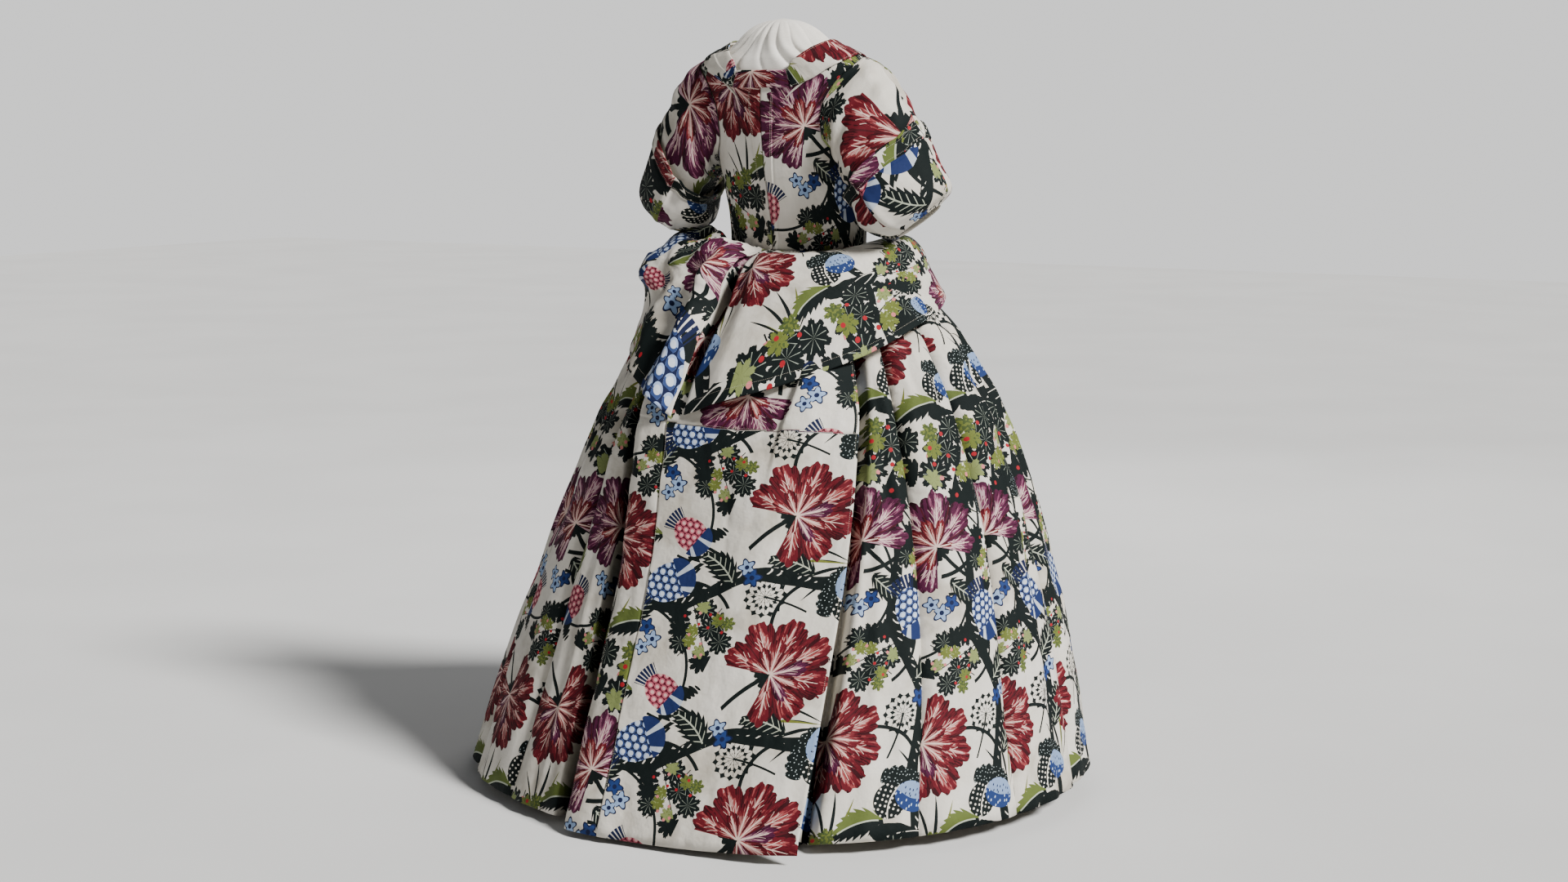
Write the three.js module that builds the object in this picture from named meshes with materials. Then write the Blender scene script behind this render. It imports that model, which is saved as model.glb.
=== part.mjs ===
// A mantua of brocaded silk worn by a limbless dress form on a round foot.
// Millimetres, +Z up. The wearer faces -Y, so the back is +Y and the wearer's right is -X.
// Angles run round the body from the centre back (0) towards the wearer's right (90), to the front (180).
import * as THREE from 'three';

// ---- driving sizes -------------------------------------------------------------------------
const CLOTH = 2;                 // wall of silk with its linen lining
const SEAM = 0.35;               // gap between sewn pieces
const LAYER = 0.45;              // gap between a panel and what lies on it
const WAIST_Z = 992.4;           // lower edge of the bodice
const BAND_TOP_Z = 1010;         // upper edge of the petticoat's waistband
const FORM_CLEARANCE = 6.5;       // bodice outside to the form's skin
const NECK_BAND = { low: 1291, high: 1323 };
const STOMACHER_TOP_Z = 1214;
const BUST_Z = 1160;
const FORM_BOTTOM_Z = 780;
const POLE_RADIUS = 14;
const FOOT = { radius: 230, height: 18 };
const TRAIN_HEM_Z = 8;
const HEM_RISE = 30;             // how much higher the petticoat hangs in front than behind

// Body sections of the bodice: half width, half depth behind and before, and how far back the centre leans.
const BODY = [
  { z: 770, side: 150, back: 112, front: 105, lean: 0 },
  { z: 870, side: 160, back: 122, front: 112, lean: 0 },
  { z: 940, side: 146, back: 108, front: 102, lean: 0 },
  { z: 985, side: 136, back: 99, front: 95, lean: 0 },
  { z: 1010, side: 137, back: 98, front: 95, lean: 1 },
  { z: 1060, side: 138, back: 101, front: 102, lean: 7 },
  { z: 1110, side: 143, back: 106, front: 116, lean: 15 },
  { z: 1160, side: 149, back: 110, front: 128, lean: 23 },
  { z: 1210, side: 155, back: 110, front: 126, lean: 30 },
  { z: 1260, side: 165, back: 106, front: 112, lean: 37 },
  { z: 1300, side: 176, back: 100, front: 97, lean: 43 },
  { z: 1328, side: 181, back: 93, front: 86, lean: 48 },
  { z: 1346, side: 162, back: 86, front: 79, lean: 51 },
  { z: 1359, side: 136, back: 79, front: 74, lean: 53 },
  { z: 1371, side: 112, back: 73, front: 69, lean: 55 },
  { z: 1383, side: 96, back: 68, front: 65, lean: 56 },
  { z: 1396, side: 81, back: 60, front: 58, lean: 57 },
  { z: 1408, side: 64, back: 49, front: 47, lean: 57 },
  { z: 1418, side: 40, back: 32, front: 31, lean: 57 },
  { z: 1425, side: 8, back: 7, front: 7, lean: 57 },
];

// Skirt sections from the waist (0) to the petticoat's hem (10): the surface over the crests of the pleats.
const SKIRT = [
  { row: 0, z: 986, side: 134.5, depth: 97.5, shift: 0, fold: 0 },
  { row: 1, z: 982, side: 168, depth: 128, shift: 0, fold: 2 },
  { row: 2, z: 966, side: 212, depth: 170, shift: -3, fold: 7 },
  { row: 3, z: 936, side: 236, depth: 198, shift: -6, fold: 13 },
  { row: 4, z: 892, side: 259, depth: 226, shift: -8, fold: 18 },
  { row: 5, z: 830, side: 315, depth: 277, shift: -10, fold: 24 },
  { row: 6, z: 735, side: 377, depth: 335, shift: -8, fold: 27 },
  { row: 7, z: 610, side: 436, depth: 391, shift: -4, fold: 25 },
  { row: 8, z: 455, side: 490, depth: 439, shift: 6, fold: 22 },
  { row: 9, z: 270, side: 545, depth: 493, shift: 34, fold: 18 },
  { row: 10, z: 22, side: 605, depth: 556, shift: 80, fold: 14 },
];

// Valleys between the pleats: their angle at the waist and at the hem.
const VALLEYS = [
  { waist: -145, hem: -145 }, { waist: -118, hem: -118 }, { waist: -96, hem: -95 },
  { waist: -78, hem: -72 }, { waist: -60, hem: -50 }, { waist: -43, hem: -29 },
  { waist: -27, hem: -11 }, { waist: 10, hem: 10 }, { waist: 46, hem: 33.5 },
  { waist: 59, hem: 53 }, { waist: 81, hem: 75 }, { waist: 103, hem: 97 },
  { waist: 127, hem: 120 }, { waist: 150, hem: 145 }, { waist: 215, hem: 215 },
];
const VALLEY_WIDTH = 3.4;        // degrees over which a valley falls
const PETTICOAT_PANELS = {
  petticoat_left_front: [0, 3], petticoat_left_back: [3, 6], petticoat_back: [6, 8],
  petticoat_right_back: [8, 11], petticoat_right_front: [11, 13], petticoat_front: [13, 14],
};

// Side edges of the train's hanging breadth, as angles, and how far each edge stands off the petticoat.
const TRAIN_EDGES = [
  { row: 0.3, left: -25, right: 44, lift: 0.6, leftLift: 0, rightLift: 0 },
  { row: 4, left: -25, right: 44, lift: 0.7, leftLift: 0, rightLift: 0 },
  { row: 6, left: -23, right: 43, lift: 1.2, leftLift: 1, rightLift: 2 },
  { row: 7, left: -18, right: 40.5, lift: 1.5, leftLift: 4, rightLift: 4 },
  { row: 8, left: -14, right: 37.5, lift: 2, leftLift: 8, rightLift: 8 },
  { row: 10.1, left: -9.5, right: 31.5, lift: 4, leftLift: 14, rightLift: 44 },
];

// Lower edges of the looped-up wings of the train, from the centre back round the hip.
const WING_RIGHT_EDGE = [
  { angle: -5, z: 704 }, { angle: 10, z: 730 }, { angle: 25, z: 762 }, { angle: 42, z: 796 },
  { angle: 72, z: 848 }, { angle: 100, z: 878 }, { angle: 118, z: 893 }, { angle: 132, z: 925 },
];
const WING_LEFT_EDGE = [
  { angle: -132, z: 915 }, { angle: -116, z: 884 }, { angle: -90, z: 858 }, { angle: -62, z: 826 },
  { angle: -40, z: 782 }, { angle: -22, z: 736 }, { angle: -9, z: 699 },
];
const WING_LIFT = 4.0;           // clears the train's breadth beneath
const WING_STAND_OFF = 4;        // further lift at a wing's lower edge
// Puffs of the left wing over the hip: where each is, how wide, and how high it stands.
const LEFT_PUFFS = [
  { angle: -70, row: 2.62, wide: 32, tall: 1.35, lift: 62 },
  { angle: -30, row: 1.1, wide: 13, tall: 0.8, lift: 18 },
];
const RIGHT_PUFFS = [{ angle: 95, row: 1.5, wide: 42, tall: 1.0, lift: 24 }];

// Edges of the robing: body angle and height of its inner and outer edge, back end to front waist.
const ROBING = [
  { along: 0, innerAngle: 17, innerZ: 1322, outerAngle: 21, outerZ: 1292 },
  { along: 1, innerAngle: 20, innerZ: 1337, outerAngle: 33, outerZ: 1306 },
  { along: 2, innerAngle: 42, innerZ: 1362, outerAngle: 49, outerZ: 1331 },
  { along: 3, innerAngle: 90, innerZ: 1378, outerAngle: 90, outerZ: 1350 },
  { along: 4, innerAngle: 126, innerZ: 1368, outerAngle: 117, outerZ: 1339 },
  { along: 5, innerAngle: 141, innerZ: 1334, outerAngle: 127, outerZ: 1299 },
  { along: 6, innerAngle: 148, innerZ: 1284, outerAngle: 132, outerZ: 1240 },
  { along: 7, innerAngle: 152, innerZ: 1220, outerAngle: 137, outerZ: 1180 },
  { along: 8, innerAngle: 158, innerZ: 1120, outerAngle: 143, outerZ: 1100 },
  { along: 9, innerAngle: 166, innerZ: 994, outerAngle: 151, outerZ: 994 },
];

// The armhole, round from the shoulder point by the back to the underarm and up the front.
const ARMHOLE = [
  { turn: 0, angle: 90, z: 1346 }, { turn: 1, angle: 72, z: 1332 }, { turn: 2, angle: 59, z: 1295 },
  { turn: 3, angle: 54, z: 1248 }, { turn: 4, angle: 57, z: 1203 }, { turn: 5, angle: 70, z: 1168 },
  { turn: 6, angle: 90, z: 1155 }, { turn: 7, angle: 110, z: 1166 }, { turn: 8, angle: 122, z: 1198 },
  { turn: 9, angle: 125, z: 1245 }, { turn: 10, angle: 121, z: 1292 }, { turn: 11, angle: 107, z: 1332 },
  { turn: 12, angle: 90, z: 1346 },
];
const ELBOW = {
  centre: [-276, 18, 1045],      // wearer's right; the left is its mirror image
  axis: [-0.45, -0.15, -0.88],
  across: 62, along: 68,
};
const SLEEVE_PUFF = { top: 190, under: 70, end: 130 };   // how far the cap and the elbow carry straight on
const CUFF = { start: 0.5, flare: 5, wing: 40, wingTurn: 4.6, wingWide: 2.3 };

// ---- tables to smooth curves -----------------------------------------------------------------
const radians = THREE.MathUtils.degToRad;
const clamp = THREE.MathUtils.clamp;
const lerp = THREE.MathUtils.lerp;
const smooth = (x) => THREE.MathUtils.smoothstep(x, 0, 1);

// A monotone cubic through one column of a table, as a function of its key column.
function column(table, key, name) {
  const x = table.map((entry) => entry[key]);
  const y = table.map((entry) => entry[name]);
  const slope = x.slice(1).map((value, i) => (y[i + 1] - y[i]) / (value - x[i]));
  const tangent = x.map((_, i) => {
    if (i === 0) return slope[0];
    if (i === x.length - 1) return slope[i - 1];
    if (slope[i - 1] * slope[i] <= 0) return 0;
    return 2 / (1 / slope[i - 1] + 1 / slope[i]);
  });
  return (at) => {
    const p = clamp(at, x[0], x[x.length - 1]);
    let i = 0;
    while (i < x.length - 2 && p > x[i + 1]) i += 1;
    const width = x[i + 1] - x[i];
    const t = (p - x[i]) / width;
    const t2 = t * t;
    const t3 = t2 * t;
    return (2 * t3 - 3 * t2 + 1) * y[i] + (t3 - 2 * t2 + t) * width * tangent[i]
      + (3 * t2 - 2 * t3) * y[i + 1] + (t3 - t2) * width * tangent[i + 1];
  };
}

function columns(table, key, names) {
  return Object.fromEntries(names.map((name) => [name, column(table, key, name)]));
}

const body = columns(BODY, 'z', ['side', 'back', 'front', 'lean']);
const skirt = columns(SKIRT, 'row', ['z', 'side', 'depth', 'shift', 'fold']);
const trainEdge = columns(TRAIN_EDGES, 'row', ['left', 'right', 'lift', 'leftLift', 'rightLift']);
const robingEdge = columns(ROBING, 'along', ['innerAngle', 'innerZ', 'outerAngle', 'outerZ']);
const armhole = columns(ARMHOLE, 'turn', ['angle', 'z']);
const ROWS = SKIRT.length - 1;

// ---- the surfaces that the panels lie on -----------------------------------------------------
// The bodice's outside at a body angle and height.
function bodyPoint(angle, z) {
  const a = radians(angle);
  const depth = Math.cos(a) > 0 ? body.back(z) : body.front(z);
  return new THREE.Vector3(-body.side(z) * Math.sin(a), body.lean(z) + depth * Math.cos(a), z);
}

// The skirt's crest surface at an angle and row; a row past the last hangs on straight.
function crestPoint(angle, row) {
  const a = radians(angle);
  const beyond = Math.max(0, row - ROWS);
  const side = skirt.side(row) + beyond * 55;
  const depth = skirt.depth(row) + beyond * 52;
  const rise = HEM_RISE * (row / ROWS) ** 2 * (1 - Math.cos(a)) / 2;
  const z = skirt.z(row) - beyond * 240 + rise;
  return new THREE.Vector3(-side * Math.sin(a), skirt.shift(row) + depth * Math.cos(a), z);
}

function rowAtHeight(z) {
  let low = 0;
  let high = ROWS + 1;
  for (let step = 0; step < 40; step += 1) {
    const middle = (low + high) / 2;
    if (crestPoint(0, middle).z > z) low = middle;
    else high = middle;
  }
  return (low + high) / 2;
}

// The unit normal of a surface at (a, b), by central differences.
function normalOf(surface, a, b, stepA = 0.25, stepB = 0.02) {
  const across = surface(a + stepA, b).sub(surface(a - stepA, b));
  const along = surface(a, b + stepB).sub(surface(a, b - stepB));
  return across.cross(along).normalize();
}

const bodyNormal = (angle, z) => normalOf(bodyPoint, angle, z, 0.25, 0.4);
const crestNormal = (angle, row) => normalOf(crestPoint, angle, clamp(row, 0.03, ROWS + 0.5)).negate();
const onBody = (angle, z, lift) => bodyPoint(angle, z).addScaledVector(bodyNormal(angle, z), lift);
const onCrest = (angle, row, lift) => crestPoint(angle, row).addScaledVector(crestNormal(angle, row), lift);

// ---- walls of cloth ---------------------------------------------------------------------------
// Closes two grids of points, an outside and an inside, into one wall; ring says the columns join up.
function closedWall(outside, inside, ring) {
  const rows = outside.length;
  const wide = outside[0].length;
  const positions = [...outside.flat(), ...inside.flat()].flatMap((p) => [p.x, p.y, p.z]);
  const at = (face, i, j) => face * rows * wide + i * wide + (j % wide);
  const triangles = [];
  const quad = (a, b, c, d) => triangles.push(a, b, c, a, c, d);
  const spans = ring ? wide : wide - 1;
  for (let i = 0; i < rows - 1; i += 1) {
    for (let j = 0; j < spans; j += 1) {
      quad(at(0, i, j), at(0, i, j + 1), at(0, i + 1, j + 1), at(0, i + 1, j));
      quad(at(1, i, j), at(1, i + 1, j), at(1, i + 1, j + 1), at(1, i, j + 1));
    }
  }
  for (let j = 0; j < spans; j += 1) {
    quad(at(0, 0, j), at(1, 0, j), at(1, 0, j + 1), at(0, 0, j + 1));
    quad(at(0, rows - 1, j), at(0, rows - 1, j + 1), at(1, rows - 1, j + 1), at(1, rows - 1, j));
  }
  for (let i = 0; i < rows - 1 && !ring; i += 1) {
    quad(at(0, i, 0), at(0, i + 1, 0), at(1, i + 1, 0), at(1, i, 0));
    quad(at(0, i, wide - 1), at(1, i, wide - 1), at(1, i + 1, wide - 1), at(0, i + 1, wide - 1));
  }
  return facingOut(positions, triangles);
}

// A geometry whose faces point outwards, whichever way round its grid was laid.
function facingOut(positions, triangles) {
  const corner = (i) => new THREE.Vector3().fromArray(positions, 3 * i);
  let volume = 0;
  for (let i = 0; i < triangles.length; i += 3) {
    const [a, b, c] = triangles.slice(i, i + 3).map(corner);
    volume += a.dot(b.cross(c));
  }
  const ordered = volume > 0 ? triangles : triangles.toReversed();
  const geometry = new THREE.BufferGeometry();
  geometry.setAttribute('position', new THREE.Float32BufferAttribute(positions, 3));
  geometry.setIndex(ordered);
  geometry.computeVertexNormals();
  return geometry;
}

// A wall whose outside is place(u, v, 0) and whose inside is place(u, v, -thickness).
function wallOf(us, vs, place, thickness = CLOTH, ring = false) {
  const grid = (lift) => vs.map((v) => us.map((u) => place(u, v, lift)));
  return closedWall(grid(0), grid(-thickness), ring);
}

const steps = (count, from = 0, to = 1) => Array.from(
  { length: count + 1 },
  (_, i) => lerp(from, to, i / count),
);

// ---- materials and the scene --------------------------------------------------------------------
const silk = new THREE.MeshStandardMaterial({ color: 0xd9d2c4, roughness: 0.5, metalness: 0 });
const formCloth = new THREE.MeshStandardMaterial({ color: 0xe9e5dd, roughness: 0.85, metalness: 0 });
const paintedSteel = new THREE.MeshStandardMaterial({ color: 0x2c2c2e, roughness: 0.45, metalness: 0.6 });
const mantua = new THREE.Group();

function add(name, geometry, material = silk) {
  const mesh = new THREE.Mesh(geometry, material);
  mesh.name = name;
  mantua.add(mesh);
  return mesh;
}

// The same piece on the wearer's left: mirrored in X.
function mirrored(geometry) {
  const copy = geometry.clone();
  const positions = [...copy.attributes.position.array].map((value, i) => (i % 3 === 0 ? -value : value));
  return facingOut(positions, [...copy.index.array]);
}

// ---- dress form -----------------------------------------------------------------------------------
function formBody() {
  const columnsRound = 28;
  const heights = [780, 800, 870, 940, 985, 1010, 1060, 1110, 1160, 1210, 1260, 1300, 1328, 1346, 1359,
    1371, 1383, 1396, 1408, 1417];
  const points = heights.flatMap((z) => steps(columnsRound - 1, 0, 360 * (1 - 1 / columnsRound)).map(
    (angle) => {
      const rim = z === FORM_BOTTOM_Z ? 14 : 0;
      return onBody(angle, z, -FORM_CLEARANCE - rim);
    },
  ));
  points.push(new THREE.Vector3(0, 0, FORM_BOTTOM_Z - 4), new THREE.Vector3(0, 57, 1420));
  const foot = points.length - 2;
  const crown = points.length - 1;
  const triangles = [];
  const at = (i, j) => i * columnsRound + (j % columnsRound);
  for (let j = 0; j < columnsRound; j += 1) {
    triangles.push(foot, at(0, j), at(0, j + 1));
    triangles.push(crown, at(heights.length - 1, j + 1), at(heights.length - 1, j));
    for (let i = 0; i < heights.length - 1; i += 1) {
      triangles.push(at(i, j), at(i + 1, j), at(i + 1, j + 1), at(i, j), at(i + 1, j + 1), at(i, j + 1));
    }
  }
  return facingOut(points.flatMap((p) => [p.x, p.y, p.z]), triangles);
}

function standing(radius, from, to, sides) {
  const geometry = new THREE.CylinderGeometry(radius, radius, to - from, sides);
  geometry.rotateX(Math.PI / 2);
  geometry.translate(0, 0, (from + to) / 2);
  return geometry;
}

add('form_body', formBody(), formCloth);
add('form_pole', standing(POLE_RADIUS, FOOT.height + SEAM, FORM_BOTTOM_Z - 4 - SEAM, 16), paintedSteel);
add('form_foot', standing(FOOT.radius, 0, FOOT.height, 40), paintedSteel);

// ---- petticoat ------------------------------------------------------------------------------------
// Angle and fall of the pleated surface at pleat coordinate u: a whole number is a valley.
function pleat(u, row) {
  const index = clamp(Math.floor(u), 0, VALLEYS.length - 2);
  const part = u - index;
  const towardsHem = smooth((row - 3) / (ROWS - 3));
  const from = lerp(VALLEYS[index].waist, VALLEYS[index].hem, towardsHem);
  const to = lerp(VALLEYS[index + 1].waist, VALLEYS[index + 1].hem, towardsHem);
  const apart = Math.min(part, 1 - part) * (to - from);
  const roundness = 0.3 * (1 - Math.sin(Math.PI * clamp(part, 0, 1)));
  const fall = skirt.fold(row) * (0.7 * Math.exp(-Math.abs(apart) / VALLEY_WIDTH) + roundness);
  return { angle: lerp(from, to, part), fall };
}

function pleatedPoint(u, row) {
  const { angle, fall } = pleat(u, row);
  return onCrest(angle, row, -fall);
}

const pleatNormal = (u, row) => {
  const within = clamp(row, 0.05, ROWS - 0.05);
  return normalOf(pleatedPoint, u, within, 0.012, 0.04).negate();
};
const onPleats = (u, row, lift) => pleatedPoint(u, row).addScaledVector(pleatNormal(u, row), lift);

const PLEAT_PARTS = [0, 0.1, 0.27, 0.5, 0.73, 0.9];
const FRONT_PARTS = [0, 0.04, 0.1, 0.2, 0.32, 0.44, 0.56, 0.68, 0.8, 0.9, 0.96];
const PETTICOAT_ROWS = [0, 0.5, 1, 1.6, 2.3, 3, 4, 5, 6, 7, 8, 9, 10];

// Half the seam gap at a row, as a part of the pleat that starts at valley index.
function halfSeam(index, row) {
  const span = radians(VALLEYS[index + 1].hem - VALLEYS[index].hem);
  return SEAM / (span * (skirt.side(row) + skirt.depth(row)));
}

for (const [name, [from, to]] of Object.entries(PETTICOAT_PANELS)) {
  const parts = name === 'petticoat_front' ? FRONT_PARTS : PLEAT_PARTS;
  const pleats = Array.from({ length: to - from }, (_, i) => from + i);
  const us = pleats.flatMap((index) => parts.map((part) => index + part));
  us.push(to);
  add(name, wallOf(us, PETTICOAT_ROWS, (u, row, lift) => {
    const seamed = clamp(u, from + halfSeam(from, row), to - halfSeam(to - 1, row));
    return onPleats(seamed, row, lift);
  }));
}

const bandOutside = -CLOTH - 0.8;
add('petticoat_waistband', wallOf(
  steps(39, 0, 351),
  [986 + SEAM + 0.4, 998, BAND_TOP_Z],
  (angle, z, lift) => onBody(angle, z, bandOutside + lift),
  CLOTH,
  true,
));

// ---- bodice ---------------------------------------------------------------------------------------
// A patch in body angle and height between four edges, each a function of its share from 0 to 1.
function patch(centre, side, foot, top) {
  return (u, v) => {
    const blend = (pick) => {
      const across = lerp(centre(v)[pick], side(v)[pick], u);
      const along = lerp(foot(u)[pick], top(u)[pick], v);
      const low = lerp(foot(0)[pick], foot(1)[pick], u);
      const high = lerp(top(0)[pick], top(1)[pick], u);
      return across + along - lerp(low, high, v);
    };
    return [blend(0), blend(1)];
  };
}

// Edge through listed points of angle and height, evenly shared.
function edge(points) {
  const table = points.map(([angle, z], at) => ({ at: at / (points.length - 1), angle, z }));
  const curve = columns(table, 'at', ['angle', 'z']);
  return (share) => [curve.angle(share), curve.z(share)];
}

const SIDE_GAP = 0.09;           // half a side or shoulder seam, in degrees
const UNDERARM = 0.36;           // share of a bodice piece's side edge below the armhole
const SHOULDER = 0.82;           // share of it below the shoulder seam
const SHOULDER_NECK_Z = 1376;

// A bodice piece's side edge: the side seam, then the armhole to its last turn, then the shoulder seam.
const sideEdge = (seamAngle, lastTurn) => (share) => {
  if (share < UNDERARM) return [seamAngle, lerp(WAIST_Z, ARMHOLE[6].z, share / UNDERARM)];
  if (share > SHOULDER) {
    return [seamAngle, lerp(ARMHOLE[0].z, SHOULDER_NECK_Z, (share - SHOULDER) / (1 - SHOULDER))];
  }
  const turn = lerp(6, lastTurn, (share - UNDERARM) / (SHOULDER - UNDERARM));
  const away = Math.max(Math.abs(armhole.angle(turn) - 90), SIDE_GAP);
  return [90 + Math.sign(seamAngle - 90) * away, armhole.z(turn)];
};

const backSeam = 90 - SIDE_GAP;
const frontSeam = 90 + SIDE_GAP;
const backPatch = patch(
  edge([[SIDE_GAP, WAIST_Z], [SIDE_GAP, 1060], [SIDE_GAP, 1160], [SIDE_GAP, 1250], [SIDE_GAP, 1322]]),
  sideEdge(backSeam, 0),
  (u) => [lerp(SIDE_GAP, backSeam, u), WAIST_Z],
  edge([[SIDE_GAP, 1322], [17, 1322], [34, 1355], [62, 1371], [backSeam, SHOULDER_NECK_Z]]),
);
const frontPatch = patch(
  edge([[166, WAIST_Z], [158, 1120], [152, 1220], [147, 1290], [139, 1338]]),
  sideEdge(frontSeam, 12),
  (u) => [lerp(166, frontSeam, u), WAIST_Z],
  edge([[139, 1338], [126, 1365], [108, 1374], [frontSeam, SHOULDER_NECK_Z]]),
);
const BODICE_ACROSS = [0, 0.1, 0.2, 0.3, 0.4, 0.5, 0.6, 0.7, 0.8, 0.9, 1];
const BODICE_UP = [0, 0.09, 0.18, 0.27, 0.36, 0.44, 0.52, 0.6, 0.67, 0.73, 0.78, 0.82, 0.88, 0.94, 1];
const onPatch = (surface) => (u, v, lift) => {
  const [angle, z] = surface(u, v);
  return onBody(angle, z, lift);
};
const bodiceBack = wallOf(BODICE_ACROSS, BODICE_UP, onPatch(backPatch));
const bodiceFront = wallOf(BODICE_ACROSS, BODICE_UP, onPatch(frontPatch));
add('bodice_back_right', bodiceBack);
add('bodice_back_left', mirrored(bodiceBack));
add('bodice_front_right', bodiceFront);
add('bodice_front_left', mirrored(bodiceFront));

const stomacherEdge = column([
  { z: BAND_TOP_Z, half: 20 }, { z: 1120, half: 28 }, { z: STOMACHER_TOP_Z, half: 34 },
], 'z', 'half');
add('stomacher', wallOf(
  steps(10, -1, 1),
  steps(8, BAND_TOP_Z + LAYER, STOMACHER_TOP_Z),
  (share, z, lift) => onBody(180 + share * stomacherEdge(z), z, bandOutside - 0.9 + lift),
  1.6,
));

add('neck_band', wallOf(
  steps(8, -1, 1),
  steps(2, NECK_BAND.low, NECK_BAND.high),
  (share, z, lift) => {
    const half = lerp(20.2, 16.2, (z - NECK_BAND.low) / (NECK_BAND.high - NECK_BAND.low));
    return onBody(share * half, z, LAYER + CLOTH + lift);
  },
));

const robing = wallOf(
  steps(4),
  steps(36, 0, 9),
  (share, along, lift) => {
    const angle = lerp(robingEdge.innerAngle(along), robingEdge.outerAngle(along), share);
    const z = lerp(robingEdge.innerZ(along), robingEdge.outerZ(along), share);
    return onBody(angle, z, LAYER + 1.2 + CLOTH + lift);
  },
);
add('robing_right', robing);
add('robing_left', mirrored(robing));

// ---- sleeves and cuffs ------------------------------------------------------------------------------
const elbowCentre = new THREE.Vector3(...ELBOW.centre);
const elbowAxis = new THREE.Vector3(...ELBOW.axis).normalize();
const elbowAlong = new THREE.Vector3(0, 1, 0).projectOnPlane(elbowAxis).normalize();
const elbowAcross = elbowAlong.clone().cross(elbowAxis).normalize();
const TURNS = ARMHOLE.length - 1;

function elbowPoint(turn) {
  const a = (turn / TURNS) * 2 * Math.PI;
  return elbowCentre.clone()
    .addScaledVector(elbowAcross, ELBOW.across * Math.cos(a))
    .addScaledVector(elbowAlong, ELBOW.along * Math.sin(a));
}

// The sleeve's outside: from the armhole (0) to the elbow (1), at a turn round the arm.
function sleevePoint(turn, share) {
  const round = ((turn % TURNS) + TURNS) % TURNS;
  const angle = armhole.angle(round);
  const z = armhole.z(round);
  const start = onBody(angle, z, LAYER + CLOTH * 0.55);
  const overTop = 0.5 + 0.5 * Math.cos((round / TURNS) * 2 * Math.PI);
  const outwards = bodyNormal(angle, z).add(new THREE.Vector3(-0.5, 0, -0.5 * overTop)).normalize();
  const carry = lerp(SLEEVE_PUFF.under, SLEEVE_PUFF.top, overTop);
  const curve = new THREE.CubicBezierCurve3(
    start,
    start.clone().addScaledVector(outwards, carry / 3),
    elbowPoint(round).addScaledVector(elbowAxis, -SLEEVE_PUFF.end / 3),
    elbowPoint(round),
  );
  return curve.getPoint(share);
}

const sleeveNormal = (turn, share) => {
  const s = clamp(share, 0.02, 0.98);
  return normalOf(sleevePoint, turn, s, 0.05, 0.01);
};
const onSleeve = (turn, share, lift) => sleevePoint(turn, share).addScaledVector(
  sleeveNormal(turn, share),
  lift,
);
const SLEEVE_COLUMNS = steps(23, 0, TURNS * (23 / 24));
const sleeve = wallOf(
  SLEEVE_COLUMNS,
  [0, 0.08, 0.18, 0.28, 0.39, 0.5, 0.6, 0.72, 0.86, 1],
  onSleeve,
  CLOTH,
  true,
);
add('sleeve_right', sleeve);
add('sleeve_left', mirrored(sleeve));

// The cuff is turned back up the sleeve and stands away from it, most at the wing behind the elbow.
function onCuff(turn, share, lift) {
  const up = 1 - share;
  const around = Math.abs(turn - CUFF.wingTurn);
  const away = Math.min(around, TURNS - around) / CUFF.wingWide;
  const flare = CUFF.flare + CUFF.wing * Math.exp(-away * away);
  const stand = LAYER + CLOTH + flare * Math.pow(up / (1 - CUFF.start), 1.3);
  return onSleeve(turn, share, stand + lift);
}
const cuff = wallOf(SLEEVE_COLUMNS, [CUFF.start, 0.6, 0.72, 0.86, 1], onCuff, CLOTH, true);
add('cuff_right', cuff);
add('cuff_left', mirrored(cuff));

// ---- train ----------------------------------------------------------------------------------------
const trainRowEnd = rowAtHeight(TRAIN_HEM_Z);

// The hanging breadth of the train, drawn over the petticoat's crests.
function onTrain(share, row, lift) {
  const angle = lerp(trainEdge.left(row), trainEdge.right(row), share);
  const edgeLift = trainEdge.leftLift(row) * Math.pow(1 - share, 3) + trainEdge.rightLift(row) * share ** 3;
  return onCrest(angle, row, trainEdge.lift(row) + CLOTH + edgeLift + lift);
}
add('train_breadth', wallOf(
  steps(12),
  [0.3, 0.6, 1, 1.6, 2.3, 3, 4, 5, 6, 7, 8, 9, trainRowEnd],
  onTrain,
));

// A wing of the train: share 0 to 1 runs round the hip, and fall 0 to 1 from the waist to the lower edge.
function onWing(edges, puffs, waistFrom, waistTo) {
  const lowest = column(edges, 'angle', 'z');
  const first = edges[0].angle;
  const last = edges[edges.length - 1].angle;
  return (share, fall, lift) => {
    const lowAngle = lerp(first, last, share);
    const angle = lerp(lerp(waistFrom, waistTo, share), lowAngle, smooth(fall * 1.6));
    const row = fall * rowAtHeight(lowest(lowAngle));
    const puffed = puffs.reduce((sum, puff) => {
      const away = ((angle - puff.angle) / puff.wide) ** 2 + ((row - puff.row) / puff.tall) ** 2;
      return sum + puff.lift * Math.exp(-away);
    }, 0) * smooth(fall / 0.2);
    const stand = WING_STAND_OFF * fall ** 2;
    return onCrest(angle, row, WING_LIFT + CLOTH + puffed + stand + lift);
  };
}
const WING_FALLS = [0, 0.08, 0.18, 0.3, 0.42, 0.55, 0.7, 0.85, 1];
add('train_wing_right', wallOf(steps(18), WING_FALLS, onWing(WING_RIGHT_EDGE, RIGHT_PUFFS, -4, 120)));
add('train_wing_left', wallOf(steps(20), WING_FALLS, onWing(WING_LEFT_EDGE, LEFT_PUFFS, -120, -7)));

export default mantua;
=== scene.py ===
import math

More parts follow.
